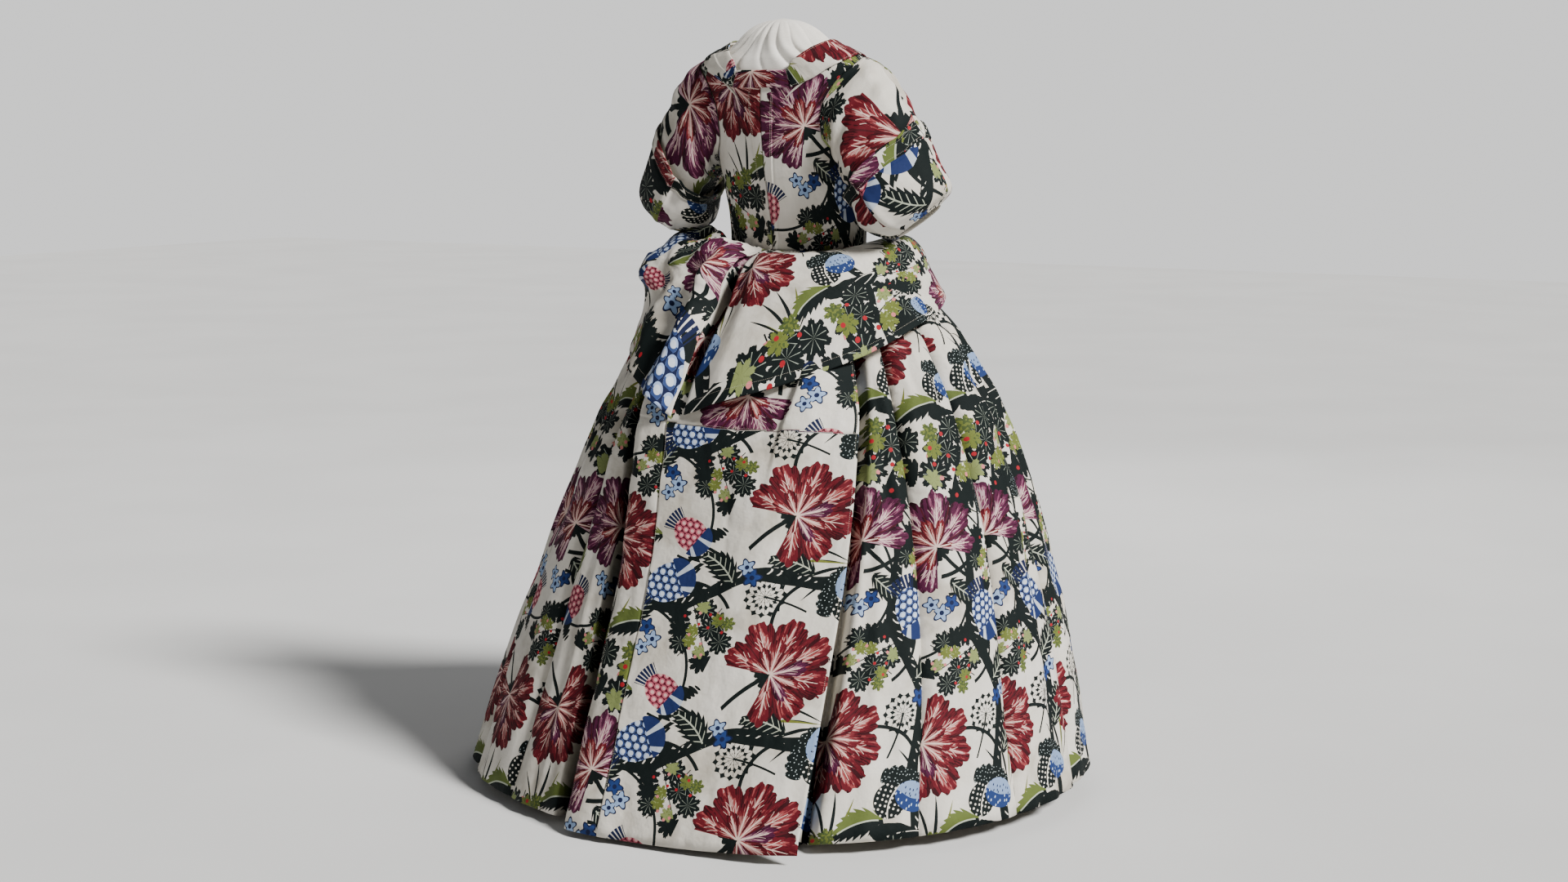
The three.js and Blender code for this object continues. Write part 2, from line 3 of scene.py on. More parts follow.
import bpy
import numpy as np
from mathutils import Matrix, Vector


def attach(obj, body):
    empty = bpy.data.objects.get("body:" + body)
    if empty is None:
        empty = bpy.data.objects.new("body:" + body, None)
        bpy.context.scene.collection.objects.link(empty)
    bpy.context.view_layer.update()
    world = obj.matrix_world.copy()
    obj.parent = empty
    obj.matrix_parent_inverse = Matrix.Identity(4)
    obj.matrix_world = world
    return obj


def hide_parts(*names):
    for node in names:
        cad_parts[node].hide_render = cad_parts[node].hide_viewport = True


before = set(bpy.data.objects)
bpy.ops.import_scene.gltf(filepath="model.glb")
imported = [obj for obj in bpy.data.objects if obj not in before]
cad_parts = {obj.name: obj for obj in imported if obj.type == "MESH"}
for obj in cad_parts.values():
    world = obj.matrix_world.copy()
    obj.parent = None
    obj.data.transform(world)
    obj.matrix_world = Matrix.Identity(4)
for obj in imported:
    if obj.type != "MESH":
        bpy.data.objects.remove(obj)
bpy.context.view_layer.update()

# The looks of a silk mantua on its dress form. Tables are in millimetres and degrees, in the CAD frame:
# +Z up, and the wearer faces -Y. An angle runs round the body from the centre back (0) to the wearer's
# right (90). On the skirt a row runs from the waist (0) to the hem (10).
MM = 0.001
CLOTH = 1.6            # thickness of a wall of silk and its lining
LAYER = 0.45           # air between two layers
WAIST_Z = 992.4
SHOULDER_Z = 1346
UNDERARM_Z = 1155
FORM_CLEARANCE = 6.5   # from the bodice in to the padded form
FORM_FOOT_Z, FORM_CROWN_Z = 780, 1420.5
HEM_RISE = 30          # how much higher the hem is in front
REPEAT_WIDE = 0.275    # metres across one repeat of the brocade
REPEAT_TALL = 0.74     # metres up one repeat
ROWS = 10

# height, half width, half depth behind, half depth before, lean back
BODY = [
    (770, 150, 112, 105, 0), (870, 160, 122, 112, 0), (940, 146, 108, 102, 0), (985, 136, 99, 95, 0),
    (1010, 137, 98, 95, 1), (1060, 138, 101, 102, 7), (1110, 143, 106, 116, 15), (1160, 149, 110, 128, 23),
    (1210, 155, 110, 126, 30), (1260, 165, 106, 112, 37), (1300, 176, 100, 97, 43), (1328, 181, 93, 86, 48),
    (1346, 162, 86, 79, 51), (1359, 136, 79, 74, 53), (1371, 112, 73, 69, 55), (1383, 96, 68, 65, 56),
    (1396, 81, 60, 58, 57), (1408, 64, 49, 47, 57), (1418, 40, 32, 31, 57), (1425, 8, 7, 7, 57),
]
# row, height, half width, half depth, shift back, depth of the pleats
SKIRT = [
    (0, 986, 134.5, 97.5, 0, 0), (1, 982, 168, 128, 0, 2), (2, 966, 212, 170, -3, 7),
    (3, 936, 236, 198, -6, 13), (4, 892, 259, 226, -8, 18), (5, 830, 315, 277, -10, 24),
    (6, 735, 377, 335, -8, 27), (7, 610, 436, 391, -4, 25), (8, 455, 490, 439, 6, 22),
    (9, 270, 545, 493, 34, 18), (10, 22, 605, 556, 80, 14),
]
# the valleys between the pleats: angle at the waist, angle at the hem
VALLEYS = [
    (-145, -145), (-118, -118), (-96, -95), (-78, -72), (-60, -50), (-43, -29), (-27, -11), (10, 10),
    (46, 33.5), (59, 53), (81, 75), (103, 97), (127, 120), (150, 145), (215, 215),
]
# the valleys at each panel's two seams, and the width and area of its silk in metres
PETTICOAT_PANELS = {
    "petticoat_left_front": (0, 3, 0.81, 0.56), "petticoat_left_back": (3, 6, 0.69, 0.51),
    "petticoat_back": (6, 8, 0.50, 0.47), "petticoat_right_back": (8, 11, 0.71, 0.51),
    "petticoat_right_front": (11, 13, 0.54, 0.39), "petticoat_front": (13, 14, 0.74, 0.55),
}
# row, left angle, right angle, lift, further lift at the left edge and at the right edge
TRAIN_EDGES = [
    (0.3, -25, 44, 2.6, 0, 0), (4, -25, 44, 2.7, 0, 0), (6, -23, 43, 3.2, 0.2, 2),
    (7, -18, 40.5, 3.5, 0.8, 4), (8, -14, 37.5, 4, 1.6, 8), (10.1, -9.5, 31.5, 6, 2.8, 44),
]
TRAIN_HEM_Z = 8
# the lower edges of the wings: angle, height
WING_RIGHT_EDGE = [(-5, 704), (10, 730), (25, 762), (42, 796), (72, 848), (100, 878), (118, 893), (132, 925)]
WING_LEFT_EDGE = [(-132, 915), (-116, 884), (-90, 858), (-62, 826), (-40, 782), (-22, 736), (-9, 699)]
WING_LIFT = 6.0
WING_STAND_OFF = 4     # further lift at the lower edge
WING_LONG = 0.34       # metres from the waist to the lower edge
# puffs: angle, row, width round the hip, width along the rows, lift
LEFT_PUFFS = [(-70, 2.62, 32, 1.35, 62), (-30, 1.1, 13, 0.8, 18)]
RIGHT_PUFFS = [(95, 1.5, 42, 1.0, 24)]
# place along, inner angle, inner height, outer angle, outer height
ROBING = [
    (0, 17, 1322, 21, 1292), (1, 20, 1337, 33, 1306), (2, 42, 1362, 49, 1331), (3, 90, 1378, 90, 1350),
    (4, 126, 1368, 117, 1339), (5, 141, 1334, 127, 1299), (6, 148, 1284, 132, 1240),
    (7, 152, 1220, 137, 1180), (8, 158, 1120, 143, 1100), (9, 166, 994, 151, 994),
]
# turn (a twelfth) round the armhole, from its top round behind: angle, height
ARMHOLE = [
    (0, 90, SHOULDER_Z), (1, 66, 1332), (2, 49, 1295), (3, 43, 1248), (4, 45, 1203), (5, 62, 1168),
    (6, 90, UNDERARM_Z), (7, 110, 1166), (8, 122, 1198), (9, 125, 1245), (10, 121, 1292), (11, 107, 1332),
    (12, 90, SHOULDER_Z),
]
TURNS = 12
ELBOW_CENTRE = np.array([-276.0, 18.0, 1045.0])
ELBOW_AXIS = np.array([-0.45, -0.15, -0.88])
ELBOW_HALF_WIDE, ELBOW_HALF_DEEP = 62, 68
CUFF_START = 0.5       # share of the sleeve's length where the cuff's top edge is
CUFF_BAND_END = 0.58   # share where the band round that edge ends
CUFF_BACK = 4.6        # turn that lies behind the elbow, where the wing stands out most
CUFF_WING_FOLD = 3.55  # turn of the fold that the wing starts from


# ---- tables to smooth curves ------------------------------------------------------------------
def curve(keys, values):
    """A monotone cubic through a table's column."""
    x, y = np.array(keys, float), np.array(values, float)
    slope = np.diff(y) / np.diff(x)
    tangent = np.concatenate([slope[:1], np.zeros(len(x) - 2), slope[-1:]])
    same = slope[:-1] * slope[1:] > 0
    tangent[1:-1] = np.where(same, 2 * slope[:-1] * slope[1:] / np.where(same, slope[:-1] + slope[1:], 1), 0)

    def at(place):
        p = np.clip(place, x[0], x[-1])
        i = np.clip(np.searchsorted(x, p, side="right") - 1, 0, len(x) - 2)
        width = x[i + 1] - x[i]
        t = (p - x[i]) / width
        return (
            (2 * t**3 - 3 * t**2 + 1) * y[i] + (t**3 - 2 * t**2 + t) * width * tangent[i]
            + (3 * t**2 - 2 * t**3) * y[i + 1] + (t**3 - t**2) * width * tangent[i + 1]
        )

    return at


def columns(table):
    """One curve for each column after the first, which is the key."""
    across = list(zip(*table))
    return [curve(across[0], column) for column in across[1:]]


body_side, body_back, body_front, body_lean = columns(BODY)
skirt_z, skirt_side, skirt_depth, skirt_shift, skirt_fold = columns(SKIRT)
train_left, train_right, train_lift, train_left_lift, train_right_lift = columns(TRAIN_EDGES)
robing_inner_angle, robing_inner_z, robing_outer_angle, robing_outer_z = columns(ROBING)
armhole_angle, armhole_z = columns(ARMHOLE)


def smooth(x):
    """A soft step from 0 to 1 as x goes from 0 to 1."""
    x = np.clip(x, 0, 1)
    return x * x * (3 - 2 * x)


def mix(a, b, t):
    return a + (b - a) * t


def bump(x, centre, width):
    """A bell that is 1 at its centre."""
    return np.exp(-(((x - centre) / width) ** 2))


def ripple(x, y, seed):
    """Smooth unevenness between about -1 and 1, made of seven waves; x and y are in waves."""
    random = np.random.RandomState(seed)
    total, count = 0, 7
    for _ in range(count):
        heading, phase = random.uniform(0, 2 * math.pi, 2)
        pitch = random.uniform(0.6, 1.7) * 2 * math.pi
        total = total + np.sin(pitch * (x * math.cos(heading) + y * math.sin(heading)) + phase)
    return total / (0.8 * count) ** 0.5 / 1.6


def facing(turn):
    """1 at turn 0 of the sleeve and 0 at turn 6, on its far side."""
    return 0.5 + 0.5 * np.cos(np.radians(turn * 30))


def vec(x, y, z):
    return np.stack(np.broadcast_arrays(x, y, z), -1).astype(float)


def unit(v):
    return v / np.maximum(np.linalg.norm(v, axis=-1, keepdims=True), 1e-9)


# ---- the surfaces that the cloth lies on ----------------------------------------------------------
def body_point(angle, z):
    """The surface that the bodice lies on."""
    a = np.radians(angle)
    depth = np.where(np.cos(a) > 0, body_back(z), body_front(z))
    return vec(-body_side(z) * np.sin(a), body_lean(z) + depth * np.cos(a), z)


def crest_point(angle, row):
    """The skirt's surface over the crests of its pleats, which runs on a little below the hem."""
    a = np.radians(angle)
    beyond = np.maximum(0, row - ROWS)
    rise = HEM_RISE * (row / ROWS) ** 2 * (1 - np.cos(a)) / 2
    return vec(
        -(skirt_side(row) + beyond * 55) * np.sin(a),
        skirt_shift(row) + (skirt_depth(row) + beyond * 52) * np.cos(a),
        skirt_z(row) - beyond * 240 + rise,
    )


def degree_mm(row):
    """Length in mm of one degree round the skirt."""
    return np.radians(1) * (skirt_side(row) + skirt_depth(row)) / 2


def normal_of(surface, a, b, step_a, step_b):
    across = surface(a + step_a, b) - surface(a - step_a, b)
    along = surface(a, b + step_b) - surface(a, b - step_b)
    return unit(np.cross(across, along))


def on_body(angle, z, lift):
    """A point lift mm out from the body."""
    normal = normal_of(body_point, angle, z, 0.25, 0.4)
    return body_point(angle, z) + normal * np.asarray(lift)[..., None]


def on_crest(angle, row, lift):
    """A point lift mm out from the crests of the pleats."""
    within = np.clip(row, 0.03, ROWS + 0.5)
    normal = -normal_of(crest_point, angle, within, 0.25, 0.02)
    return crest_point(angle, row) + normal * np.asarray(lift)[..., None]


def row_at_height(z):
    """The row at a height on the centre back."""
    rows = np.linspace(0, ROWS + 1, 2201)
    return np.interp(-np.asarray(z, float), -crest_point(0 * rows, rows)[:, 2], rows)


def skirt_length():
    """Metres along the skirt from the hem up to each row."""
    rows = np.linspace(0, ROWS + 1, 441)
    points = crest_point(0 * rows + 70, rows)
    steps = np.linalg.norm(np.diff(points, axis=0), axis=1)
    fallen = np.concatenate([[0], np.cumsum(steps)]) * MM
    hem = np.interp(ROWS, rows, fallen)
    return lambda row: hem - np.interp(row, rows, fallen)


length_up = skirt_length()


# ---- a wall of cloth as a mesh --------------------------------------------------------------------
def outward(points, ring, centre):
    """Unit normals of a grid of points, away from centre."""
    padded = np.concatenate([points[:, -1:], points, points[:, :1]], 1) if ring else points
    across = np.gradient(padded, axis=1)[:, 1:-1] if ring else np.gradient(padded, axis=1)
    along = np.gradient(points, axis=0)
    normal = unit(np.cross(across, along))
    away = points - centre(points)
    return normal if (normal * away).sum() > 0 else -normal


def body_axis(points):
    return vec(0 * points[..., 0], 0 * points[..., 0] + 20, points[..., 2])


def ring_middle(points):
    return points.mean(axis=1, keepdims=True)


def cloth_mesh(name, us, vs, place, uv, materials, period=None, centre=body_axis):
    """A two-sided wall: place(u, v) is its outside in mm, and uv(u, v, middle) its pattern in metres."""
    us, vs = np.asarray(us, float), np.asarray(vs, float)
    ring = period is not None
    u, v = np.meshgrid(us, vs)
    outside = place(u, v)
    inside = outside - outward(outside, ring, centre) * CLOTH
    high, wide = u.shape
    spans = wide if ring else wide - 1
    left = us[:spans]
    right = np.concatenate([us[1:], [us[0] + period]]) if ring else us[1:]
    middle = (left + right) / 2
    uv_left = np.stack(np.broadcast_arrays(*uv(*np.meshgrid(left, vs), middle[None, :])), -1)
    uv_right = np.stack(np.broadcast_arrays(*uv(*np.meshgrid(right, vs), middle[None, :])), -1)

    i, j = (grid.ravel() for grid in np.meshgrid(np.arange(high - 1), np.arange(spans), indexing="ij"))
    k = (j + 1) % wide
    back = high * wide
    a, b, c, d = i * wide + j, i * wide + k, (i + 1) * wide + k, (i + 1) * wide + j
    shown = np.stack([uv_left[i, j], uv_right[i, j], uv_right[i + 1, j], uv_left[i + 1, j]], 1)
    faces = [np.stack([a, b, c, d], 1), np.stack([d, c, b, a], 1) + back]
    shades = [shown, shown[:, ::-1]]

    def rim(first, second, first_uv, second_uv):
        faces.append(np.stack([first, first + back, second + back, second], 1))
        shades.append(np.stack([first_uv, first_uv, second_uv, second_uv], 1))

    columns_of, next_of = np.arange(spans), (np.arange(spans) + 1) % wide
    rim(columns_of, next_of, uv_left[0], uv_right[0])
    last = (high - 1) * wide
    rim(last + next_of, last + columns_of, uv_right[-1], uv_left[-1])
    if not ring:
        rows_of = np.arange(high - 1)
        rim((rows_of + 1) * wide, rows_of * wide, uv_left[1:, 0], uv_left[:-1, 0])
        edge = wide - 1
        rim(rows_of * wide + edge, (rows_of + 1) * wide + edge, uv_right[:-1, -1], uv_right[1:, -1])

    vertices = np.concatenate([outside.reshape(-1, 3), inside.reshape(-1, 3)]) * MM
    faces_all, uv_all = np.concatenate(faces), np.concatenate(shades)
    first, second, third, fourth = (vertices[faces_all[:, n]] for n in range(4))
    volume = (first * np.cross(second, third)).sum() + (first * np.cross(third, fourth)).sum()
    if volume < 0:
        faces_all, uv_all = faces_all[:, ::-1], uv_all[:, ::-1]
    mesh = bpy.data.meshes.new(name)
    mesh.from_pydata(vertices.tolist(), [], faces_all.tolist())
    mesh.uv_layers.new(name="cloth").data.foreach_set("uv", uv_all.reshape(-1).astype(np.float32))
    walls = len(faces[0])
    flat_rim = np.zeros(len(faces_all), bool)
    flat_rim[2 * walls:] = True
    mesh.polygons.foreach_set("use_smooth", ~flat_rim)
    slots = np.zeros(len(faces_all), np.int32)
    slots[walls:2 * walls] = 1
    for material in materials:
        mesh.materials.append(material)
    mesh.polygons.foreach_set("material_index", slots)
    mesh.update()
    return mesh


def placed(name, data):
    made = bpy.data.objects.new(name, data)
    bpy.context.scene.collection.objects.link(made)
    return made


def piece(name, mesh, nodes):
    """A piece of the object, standing for the nodes that it replaces."""
    mesh.name = name
    made = placed(name, mesh)
    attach(made, "root")
    if nodes:
        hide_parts(*nodes)
    return made


def mirrored(mesh, name, shift):
    """The same piece on the wearer's left; the pattern runs the same way, moved by shift."""
    copy = mesh.copy()
    copy.name = name
    points = np.empty(len(copy.vertices) * 3)
    copy.vertices.foreach_get("co", points)
    points[0::3] *= -1
    copy.vertices.foreach_set("co", points)
    shown = copy.uv_layers["cloth"].data
    pattern = np.empty(len(shown) * 2, np.float32)
    shown.foreach_get("uv", pattern)
    pattern[0::2] = shift[0] - pattern[0::2]
    pattern[1::2] += shift[1]
    shown.foreach_set("uv", pattern)
    copy.flip_normals()
    copy.update()
    return copy


def spread(stops, each):
    """Places from the first stop to the last, with each[i] steps between stop i and the next."""
    runs = [np.linspace(a, b, n, endpoint=False) for a, b, n in zip(stops, stops[1:], each)]
    return np.concatenate(runs + [[stops[-1]]])


# ---- dress form -----------------------------------------------------------------------------------
def gathers(angle, z):
    """Folds of the white cotton that run up to the crown of the form."""
    up = smooth((z - 1302) / 36)
    lean = angle + 10 * np.sin(np.radians(angle * 2 + 40)) * smooth((z - 1322) / 60)
    creases = np.abs(np.sin(np.radians(lean * 9 + 20 * np.sin(z / 21)))) ** 0.6 - 1
    small = np.sin(np.radians(lean * 23 + z * 1.4 + 70)) * 0.9
    broad = 1.2 * np.sin(np.radians(lean * 4 - 30))
    crown = 1 - smooth((z - 1402) / 20)
    return up * crown * ((5.6 * creases + small) * (1 - 0.45 * smooth((z - 1350) / 50)) + broad - 0.6)


def form_cover_mesh():
    """The padded form in its cotton cover, closed below and at its crown."""
    angles = np.arange(0, 360, 1.0)
    heights = spread([FORM_FOOT_Z, 985, 1320, 1400, FORM_CROWN_Z], [14, 26, 50, 24])
    rings = [on_body(angles, 0 * angles + z, gathers(angles, z) - FORM_CLEARANCE) for z in heights]
    rings[0] = on_body(angles, 0 * angles + heights[0], 0 * angles - FORM_CLEARANCE - 14)
    points = np.concatenate([*rings, [[0, 0, FORM_FOOT_Z - 4]], [[0, 57, FORM_CROWN_Z - 2]]]) * MM
    wide = len(angles)
    foot, crown = len(points) - 2, len(points) - 1
    faces = []
    for j in range(wide):
        k = (j + 1) % wide
        faces.append((foot, k, j))
        faces.append((crown, (len(heights) - 1) * wide + j, (len(heights) - 1) * wide + k))
        for i in range(len(heights) - 1):
            faces.append((i * wide + j, i * wide + k, (i + 1) * wide + k, (i + 1) * wide + j))
    mesh = bpy.data.meshes.new("form_cover")
    mesh.from_pydata(points.tolist(), [], faces)
    mesh.flip_normals()
    mesh.polygons.foreach_set("use_smooth", np.ones(len(faces), bool))
    mesh.update()
    return mesh


# ---- petticoat ------------------------------------------------------------------------------------
VALLEY_WAIST, VALLEY_HEM = (np.array(column, float) for column in zip(*VALLEYS))
PLEAT_MIDDLES = (VALLEY_HEM[:-1] + VALLEY_HEM[1:]) / 2


def valley_angle(index, row):
    """A valley's angle, wandering a little on its way down."""
    down = smooth((row - 3) / (ROWS - 3))
    wander = 0.8 * np.sin(row * 0.9 + index * 2.1) * smooth((row - 2.5) / 3) * (1 - smooth((row - 9) / 1.2))
    return mix(VALLEY_WAIST[index], VALLEY_HEM[index], down) + wander


def pleat_angle(u, row):
    """Angle, degrees from the nearer valley, share of the way across the pleat, and the pleat's number."""
    index = np.clip(np.floor(u), 0, len(VALLEYS) - 2).astype(int)
    part = u - index
    left, right = valley_angle(index, row), valley_angle(index + 1, row)
    return mix(left, right, part), np.minimum(part, 1 - part) * (right - left), part, index


def channel(angle, row, edge_angle, away, half, deep):
    """A deep valley beside an edge of the train; away, half its width and its depth are in mm."""
    degree = degree_mm(row)
    return deep * bump(angle, edge_angle + away / degree, half / degree) * smooth((row - 4.0) / 1.2)


def hollow_between_wings(angle, row):
    """Depth in mm of the hollow that the breadth and the petticoat share at the centre back."""
    return 62 * bump(angle, -7, 3.6) * smooth((row - 1.4) / 1.2) * (1 - smooth((row - 5.2) / 0.8))


def leaning(angle, row, hollow):
    """The angle of a fold's bottom: a deep fold is laid over towards the wearer's left."""
    return angle - hollow / degree_mm(row)


def pleated_point(u, row):
    """A point of the petticoat; u counts the pleats from the first valley."""
    angle, apart, part, index = pleat_angle(u, row)
    valley = 0.86 * np.exp(-apart / (1.7 + 0.4 * np.sin(index * 1.7 + row * 0.6)))
    roundness = 0.34 * (1 - np.sin(np.pi * part))
    low = smooth((row - 4.2) / 2)
    side = 9 * low * bump(apart, 7.5, 2.4) * (0.5 + 0.5 * np.sin(index * 2.6 + row * 0.8))
    soft = (2.5 + 2.5 * ripple(angle / 13, row / 1.2, 3)) * low
    bent = 1.6 * (1 + np.sin(row * 5.3 + index + 0.12 * angle)) * bump(row, 6.4, 1.8) * smooth(apart / 4)
    bent = bent + 1.3 * (1 + ripple(angle / 6, row * 1.9, 4)) * low * smooth(apart / 3)
    fall = skirt_fold(row) * (valley + roundness) + side + soft + bent
    fall = fall * (1 + 0.35 * bump(row, 5.4, 1.8)) + channel(angle, row, train_right(row), 9, 10, 62)
    laid_over = channel(angle, row, train_left(row), -17, 13, 80)
    hollow = hollow_between_wings(angle, row)
    fall = fall + laid_over + hollow
    angle = leaning(angle, row, laid_over + 0.75 * hollow)
    points = on_crest(angle, row, -fall)
    points[..., 2] = np.maximum(points[..., 2], 5)
    return points


def petticoat_uv(u, row, middle):
    """Each pleat shows the stretch of silk round its own middle, so the pattern breaks at the valleys."""
    index = np.clip(np.floor(middle), 0, len(VALLEYS) - 2).astype(int)
    left, right = valley_angle(index, row), valley_angle(index + 1, row)
    angle = mix(left, right, u - index)
    about = mix(left, right, 0.5)
    round_hem = PLEAT_MIDDLES[index] * 0.0113
    reach = degree_mm(row) * MM
    return round_hem + 0.06 * index + (angle - about) * reach, length_up(row) + 0.012 * np.sin(index * 2.2)


def petticoat_mesh(name, first, last, materials):
    """A panel between two valleys, with most points at its valleys; the front has a broad plain middle."""
    half = (1 - np.cos(np.linspace(0, np.pi / 2, 21))) / 2
    within = np.concatenate([half, 1 - half[-2:0:-1]])
    if name == "petticoat_front":
        within = np.concatenate([within[:8] * 0.35, np.linspace(0.12, 0.88, 26), 1 - within[8:0:-1] * 0.35])
        within = np.unique(np.round(within, 5))
    us = np.concatenate([index + within for index in range(first, last)] + [[last]])
    half_gap = 0.00007 / math.radians(VALLEY_HEM[first + 1] - VALLEY_HEM[first])
    us[0], us[-1] = us[0] + half_gap, us[-1] - half_gap
    rows = spread([0, 1, 4, 10], [6, 18, 62])
    return cloth_mesh(name, us, rows, pleated_point, petticoat_uv, materials=materials)


def waistband_mesh(materials):
    angles = np.arange(0, 360, 2.0)
    heights = np.array([986.8, 988, 992, 998, 1004, 1008, 1009.2])

    def place(angle, z):
        rolled = -0.5 * (bump(z, 986.8, 1.5) + bump(z, 1009.6, 1.5))
        return on_body(angle, z, -CLOTH - 1.2 + rolled + 0.15 * np.sin(angle * 1.3))

    return cloth_mesh(
        "petticoat_waistband", angles, heights, place, lambda angle, z, _: (angle * 0.0023, z * MM),
        period=360, materials=materials,
    )


# ---- bodice ---------------------------------------------------------------------------------------
def edge(points):
    """A curve through listed points of angle and height, evenly shared."""
    shares = np.linspace(0, 1, len(points))
    angle, z = (curve(shares, column) for column in zip(*points))
    return lambda share: (angle(share), z(share))


SIDE_GAP = 0.09        # degrees between a seam and the edge of each piece that meets there
UNDERARM = 0.36        # share of the way up where the side seam ends
SHOULDER = 0.82        # share of the way up where the shoulder seam starts
NECK_Z = 1322
SHOULDER_NECK_Z = 1376


def side_edge(seam, last_turn):
    """The side seam, then the armhole to its last turn, then the shoulder seam."""

    def at(share):
        turn = mix(6, last_turn, (share - UNDERARM) / (SHOULDER - UNDERARM))
        away = np.maximum(np.abs(armhole_angle(turn) - 90), SIDE_GAP)
        above = mix(SHOULDER_Z, SHOULDER_NECK_Z, (share - SHOULDER) / (1 - SHOULDER))
        z = np.where(share < UNDERARM, mix(WAIST_Z, UNDERARM_Z, share / UNDERARM), armhole_z(turn))
        along_seam = (share < UNDERARM) | (share > SHOULDER)
        angle = np.where(along_seam, seam, 90 + np.sign(seam - 90) * away)
        return angle, np.where(share > SHOULDER, above, z)

    return at


def patch(centre, side, foot, top):
    """A bodice piece's angle and height at (u, v), between its four edges."""
    corners = [(foot(0.0)[n], foot(1.0)[n], top(0.0)[n], top(1.0)[n]) for n in (0, 1)]

    def at(u, v):
        found = []
        for n, (low_in, low_out, high_in, high_out) in enumerate(corners):
            across = mix(centre(v)[n], side(v)[n], u)
            along = mix(foot(u)[n], top(u)[n], v)
            found.append(across + along - mix(mix(low_in, low_out, u), mix(high_in, high_out, u), v))
        return found

    return at


BACK_SEAM, FRONT_SEAM = 90 - SIDE_GAP, 90 + SIDE_GAP
back_patch = patch(
    edge([(SIDE_GAP, WAIST_Z), (SIDE_GAP, 1060), (SIDE_GAP, 1160), (SIDE_GAP, 1250), (SIDE_GAP, NECK_Z)]),
    side_edge(BACK_SEAM, 0),
    lambda u: (mix(SIDE_GAP, BACK_SEAM, u), WAIST_Z),
    edge([(SIDE_GAP, NECK_Z), (17, NECK_Z), (34, 1355), (62, 1371), (BACK_SEAM, SHOULDER_NECK_Z)]),
)
front_patch = patch(
    edge([(166, WAIST_Z), (158, 1120), (152, 1220), (147, 1290), (139, 1338)]),
    side_edge(FRONT_SEAM, 12),
    lambda u: (mix(166, FRONT_SEAM, u), WAIST_Z),
    edge([(139, 1338), (126, 1365), (108, 1374), (FRONT_SEAM, SHOULDER_NECK_Z)]),
)


def pleat_strip(z):
    """Distance in mm from the centre back to the edge of the stitched-down pleat."""
    return np.interp(z, [WAIST_Z, 1100, 1210, NECK_Z], [10, 15, 23, 30])


def back_lift(angle, z):
    """The stitched-down pleat, the centre back seam and the pull of the cloth at the waist."""
    across = np.radians(angle) * body_side(z)
    strip = pleat_strip(z)
    raised = 1.7 * smooth((strip - across) / 1.2) * (1 - smooth((z - 1268) / 22))
    raised = raised - 1.0 * bump(across, strip + 0.8, 1.2)
    seam = -1.3 * bump(across, 0, 1.5)
    pulls = 0.45 * ripple(angle / 16, z / 70, 11) + 0.8 * bump(z, 1000, 16) * np.sin(angle * 0.5)
    return raised + seam + pulls - 0.5


def front_lift(angle, z):
    return 0.5 * ripple(angle / 16, z / 70, 12) - 0.4


def bodice_mesh(name, surface, lift, materials):
    def place(u, v):
        angle, z = surface(u, v)
        return on_body(angle, z, lift(angle, z))

    def uv(u, v, _):
        angle, z = surface(u, v)
        return np.radians(angle) * 0.150 + 0.03, z * MM + 0.02

    across, up = spread([0, 0.3, 1], [26, 34]), spread([0, UNDERARM, SHOULDER, 1], [26, 44, 12])
    return cloth_mesh(name, across, up, place, uv, materials=materials)


def stomacher_mesh(materials):
    half = curve([1010, 1120, 1214], [20, 28, 34])

    def place(share, z):
        lift = -CLOTH - 2.1 + 0.3 * ripple(share, z / 40, 13)
        return on_body(180 + share * half(z), z, lift)

    return cloth_mesh(
        "stomacher", np.linspace(-1, 1, 41), np.linspace(1010.6, 1214, 52), place,
        lambda share, z, _: (share * 0.07, z * MM), materials=materials,
    )


def neck_band_mesh(materials):
    low, high = 1291, 1323

    def place(share, z):
        half = mix(20.2, 16.2, (z - low) / (high - low))
        rolled = -0.9 * (bump(z, low, 1.6) + bump(z, high, 1.6))
        return on_body(share * half, z, LAYER + 2.6 + rolled + 0.3 * ripple(share * 2, z / 20, 14))

    return cloth_mesh(
        "neck_band", np.linspace(-1, 1, 61), spread([low, low + 4, high - 4, high], [6, 8, 6]), place,
        lambda share, z, _: (z * MM - 0.107, share * 0.055 + 0.52), materials=materials,
    )


def robing_point(share, along, above=0):
    """A point of a robing; share goes across it, and along from the neck band to the front waist."""
    angle = mix(robing_inner_angle(along), robing_outer_angle(along), share)
    z = mix(robing_inner_z(along), robing_outer_z(along), share)
    rolled = -1.0 * (bump(share, 0, 0.06) + bump(share, 1, 0.06))
    fold = 1.1 * smooth((share - 0.45) / 0.05) - 0.9
    waves = 0.4 * ripple(share * 1.5, along * 1.2, 15)
    return on_body(angle, z, LAYER + 3.2 + rolled + fold + waves + above)


def robing_mesh(materials):
    """A strip folded along both edges, with a fold down its middle."""
    return cloth_mesh(
        "robing_right", spread([0, 0.1, 0.42, 0.54, 0.9, 1], [4, 6, 6, 6, 4]), np.linspace(0, 9, 150),
        robing_point, lambda share, along, _: (share * 0.034 + 0.11, along * 0.055), materials=materials,
    )


# ---- sleeves and cuffs ----------------------------------------------------------------------------
elbow_axis = ELBOW_AXIS / np.linalg.norm(ELBOW_AXIS)
elbow_along = unit(np.array([0.0, 1.0, 0.0]) - elbow_axis[1] * elbow_axis)
elbow_across = unit(np.cross(elbow_along, elbow_axis))


def elbow_point(turn):
    a = np.radians(turn * 30)[..., None]
    across, along = elbow_across * ELBOW_HALF_WIDE, elbow_along * ELBOW_HALF_DEEP
    return ELBOW_CENTRE + across * np.cos(a) + along * np.sin(a)


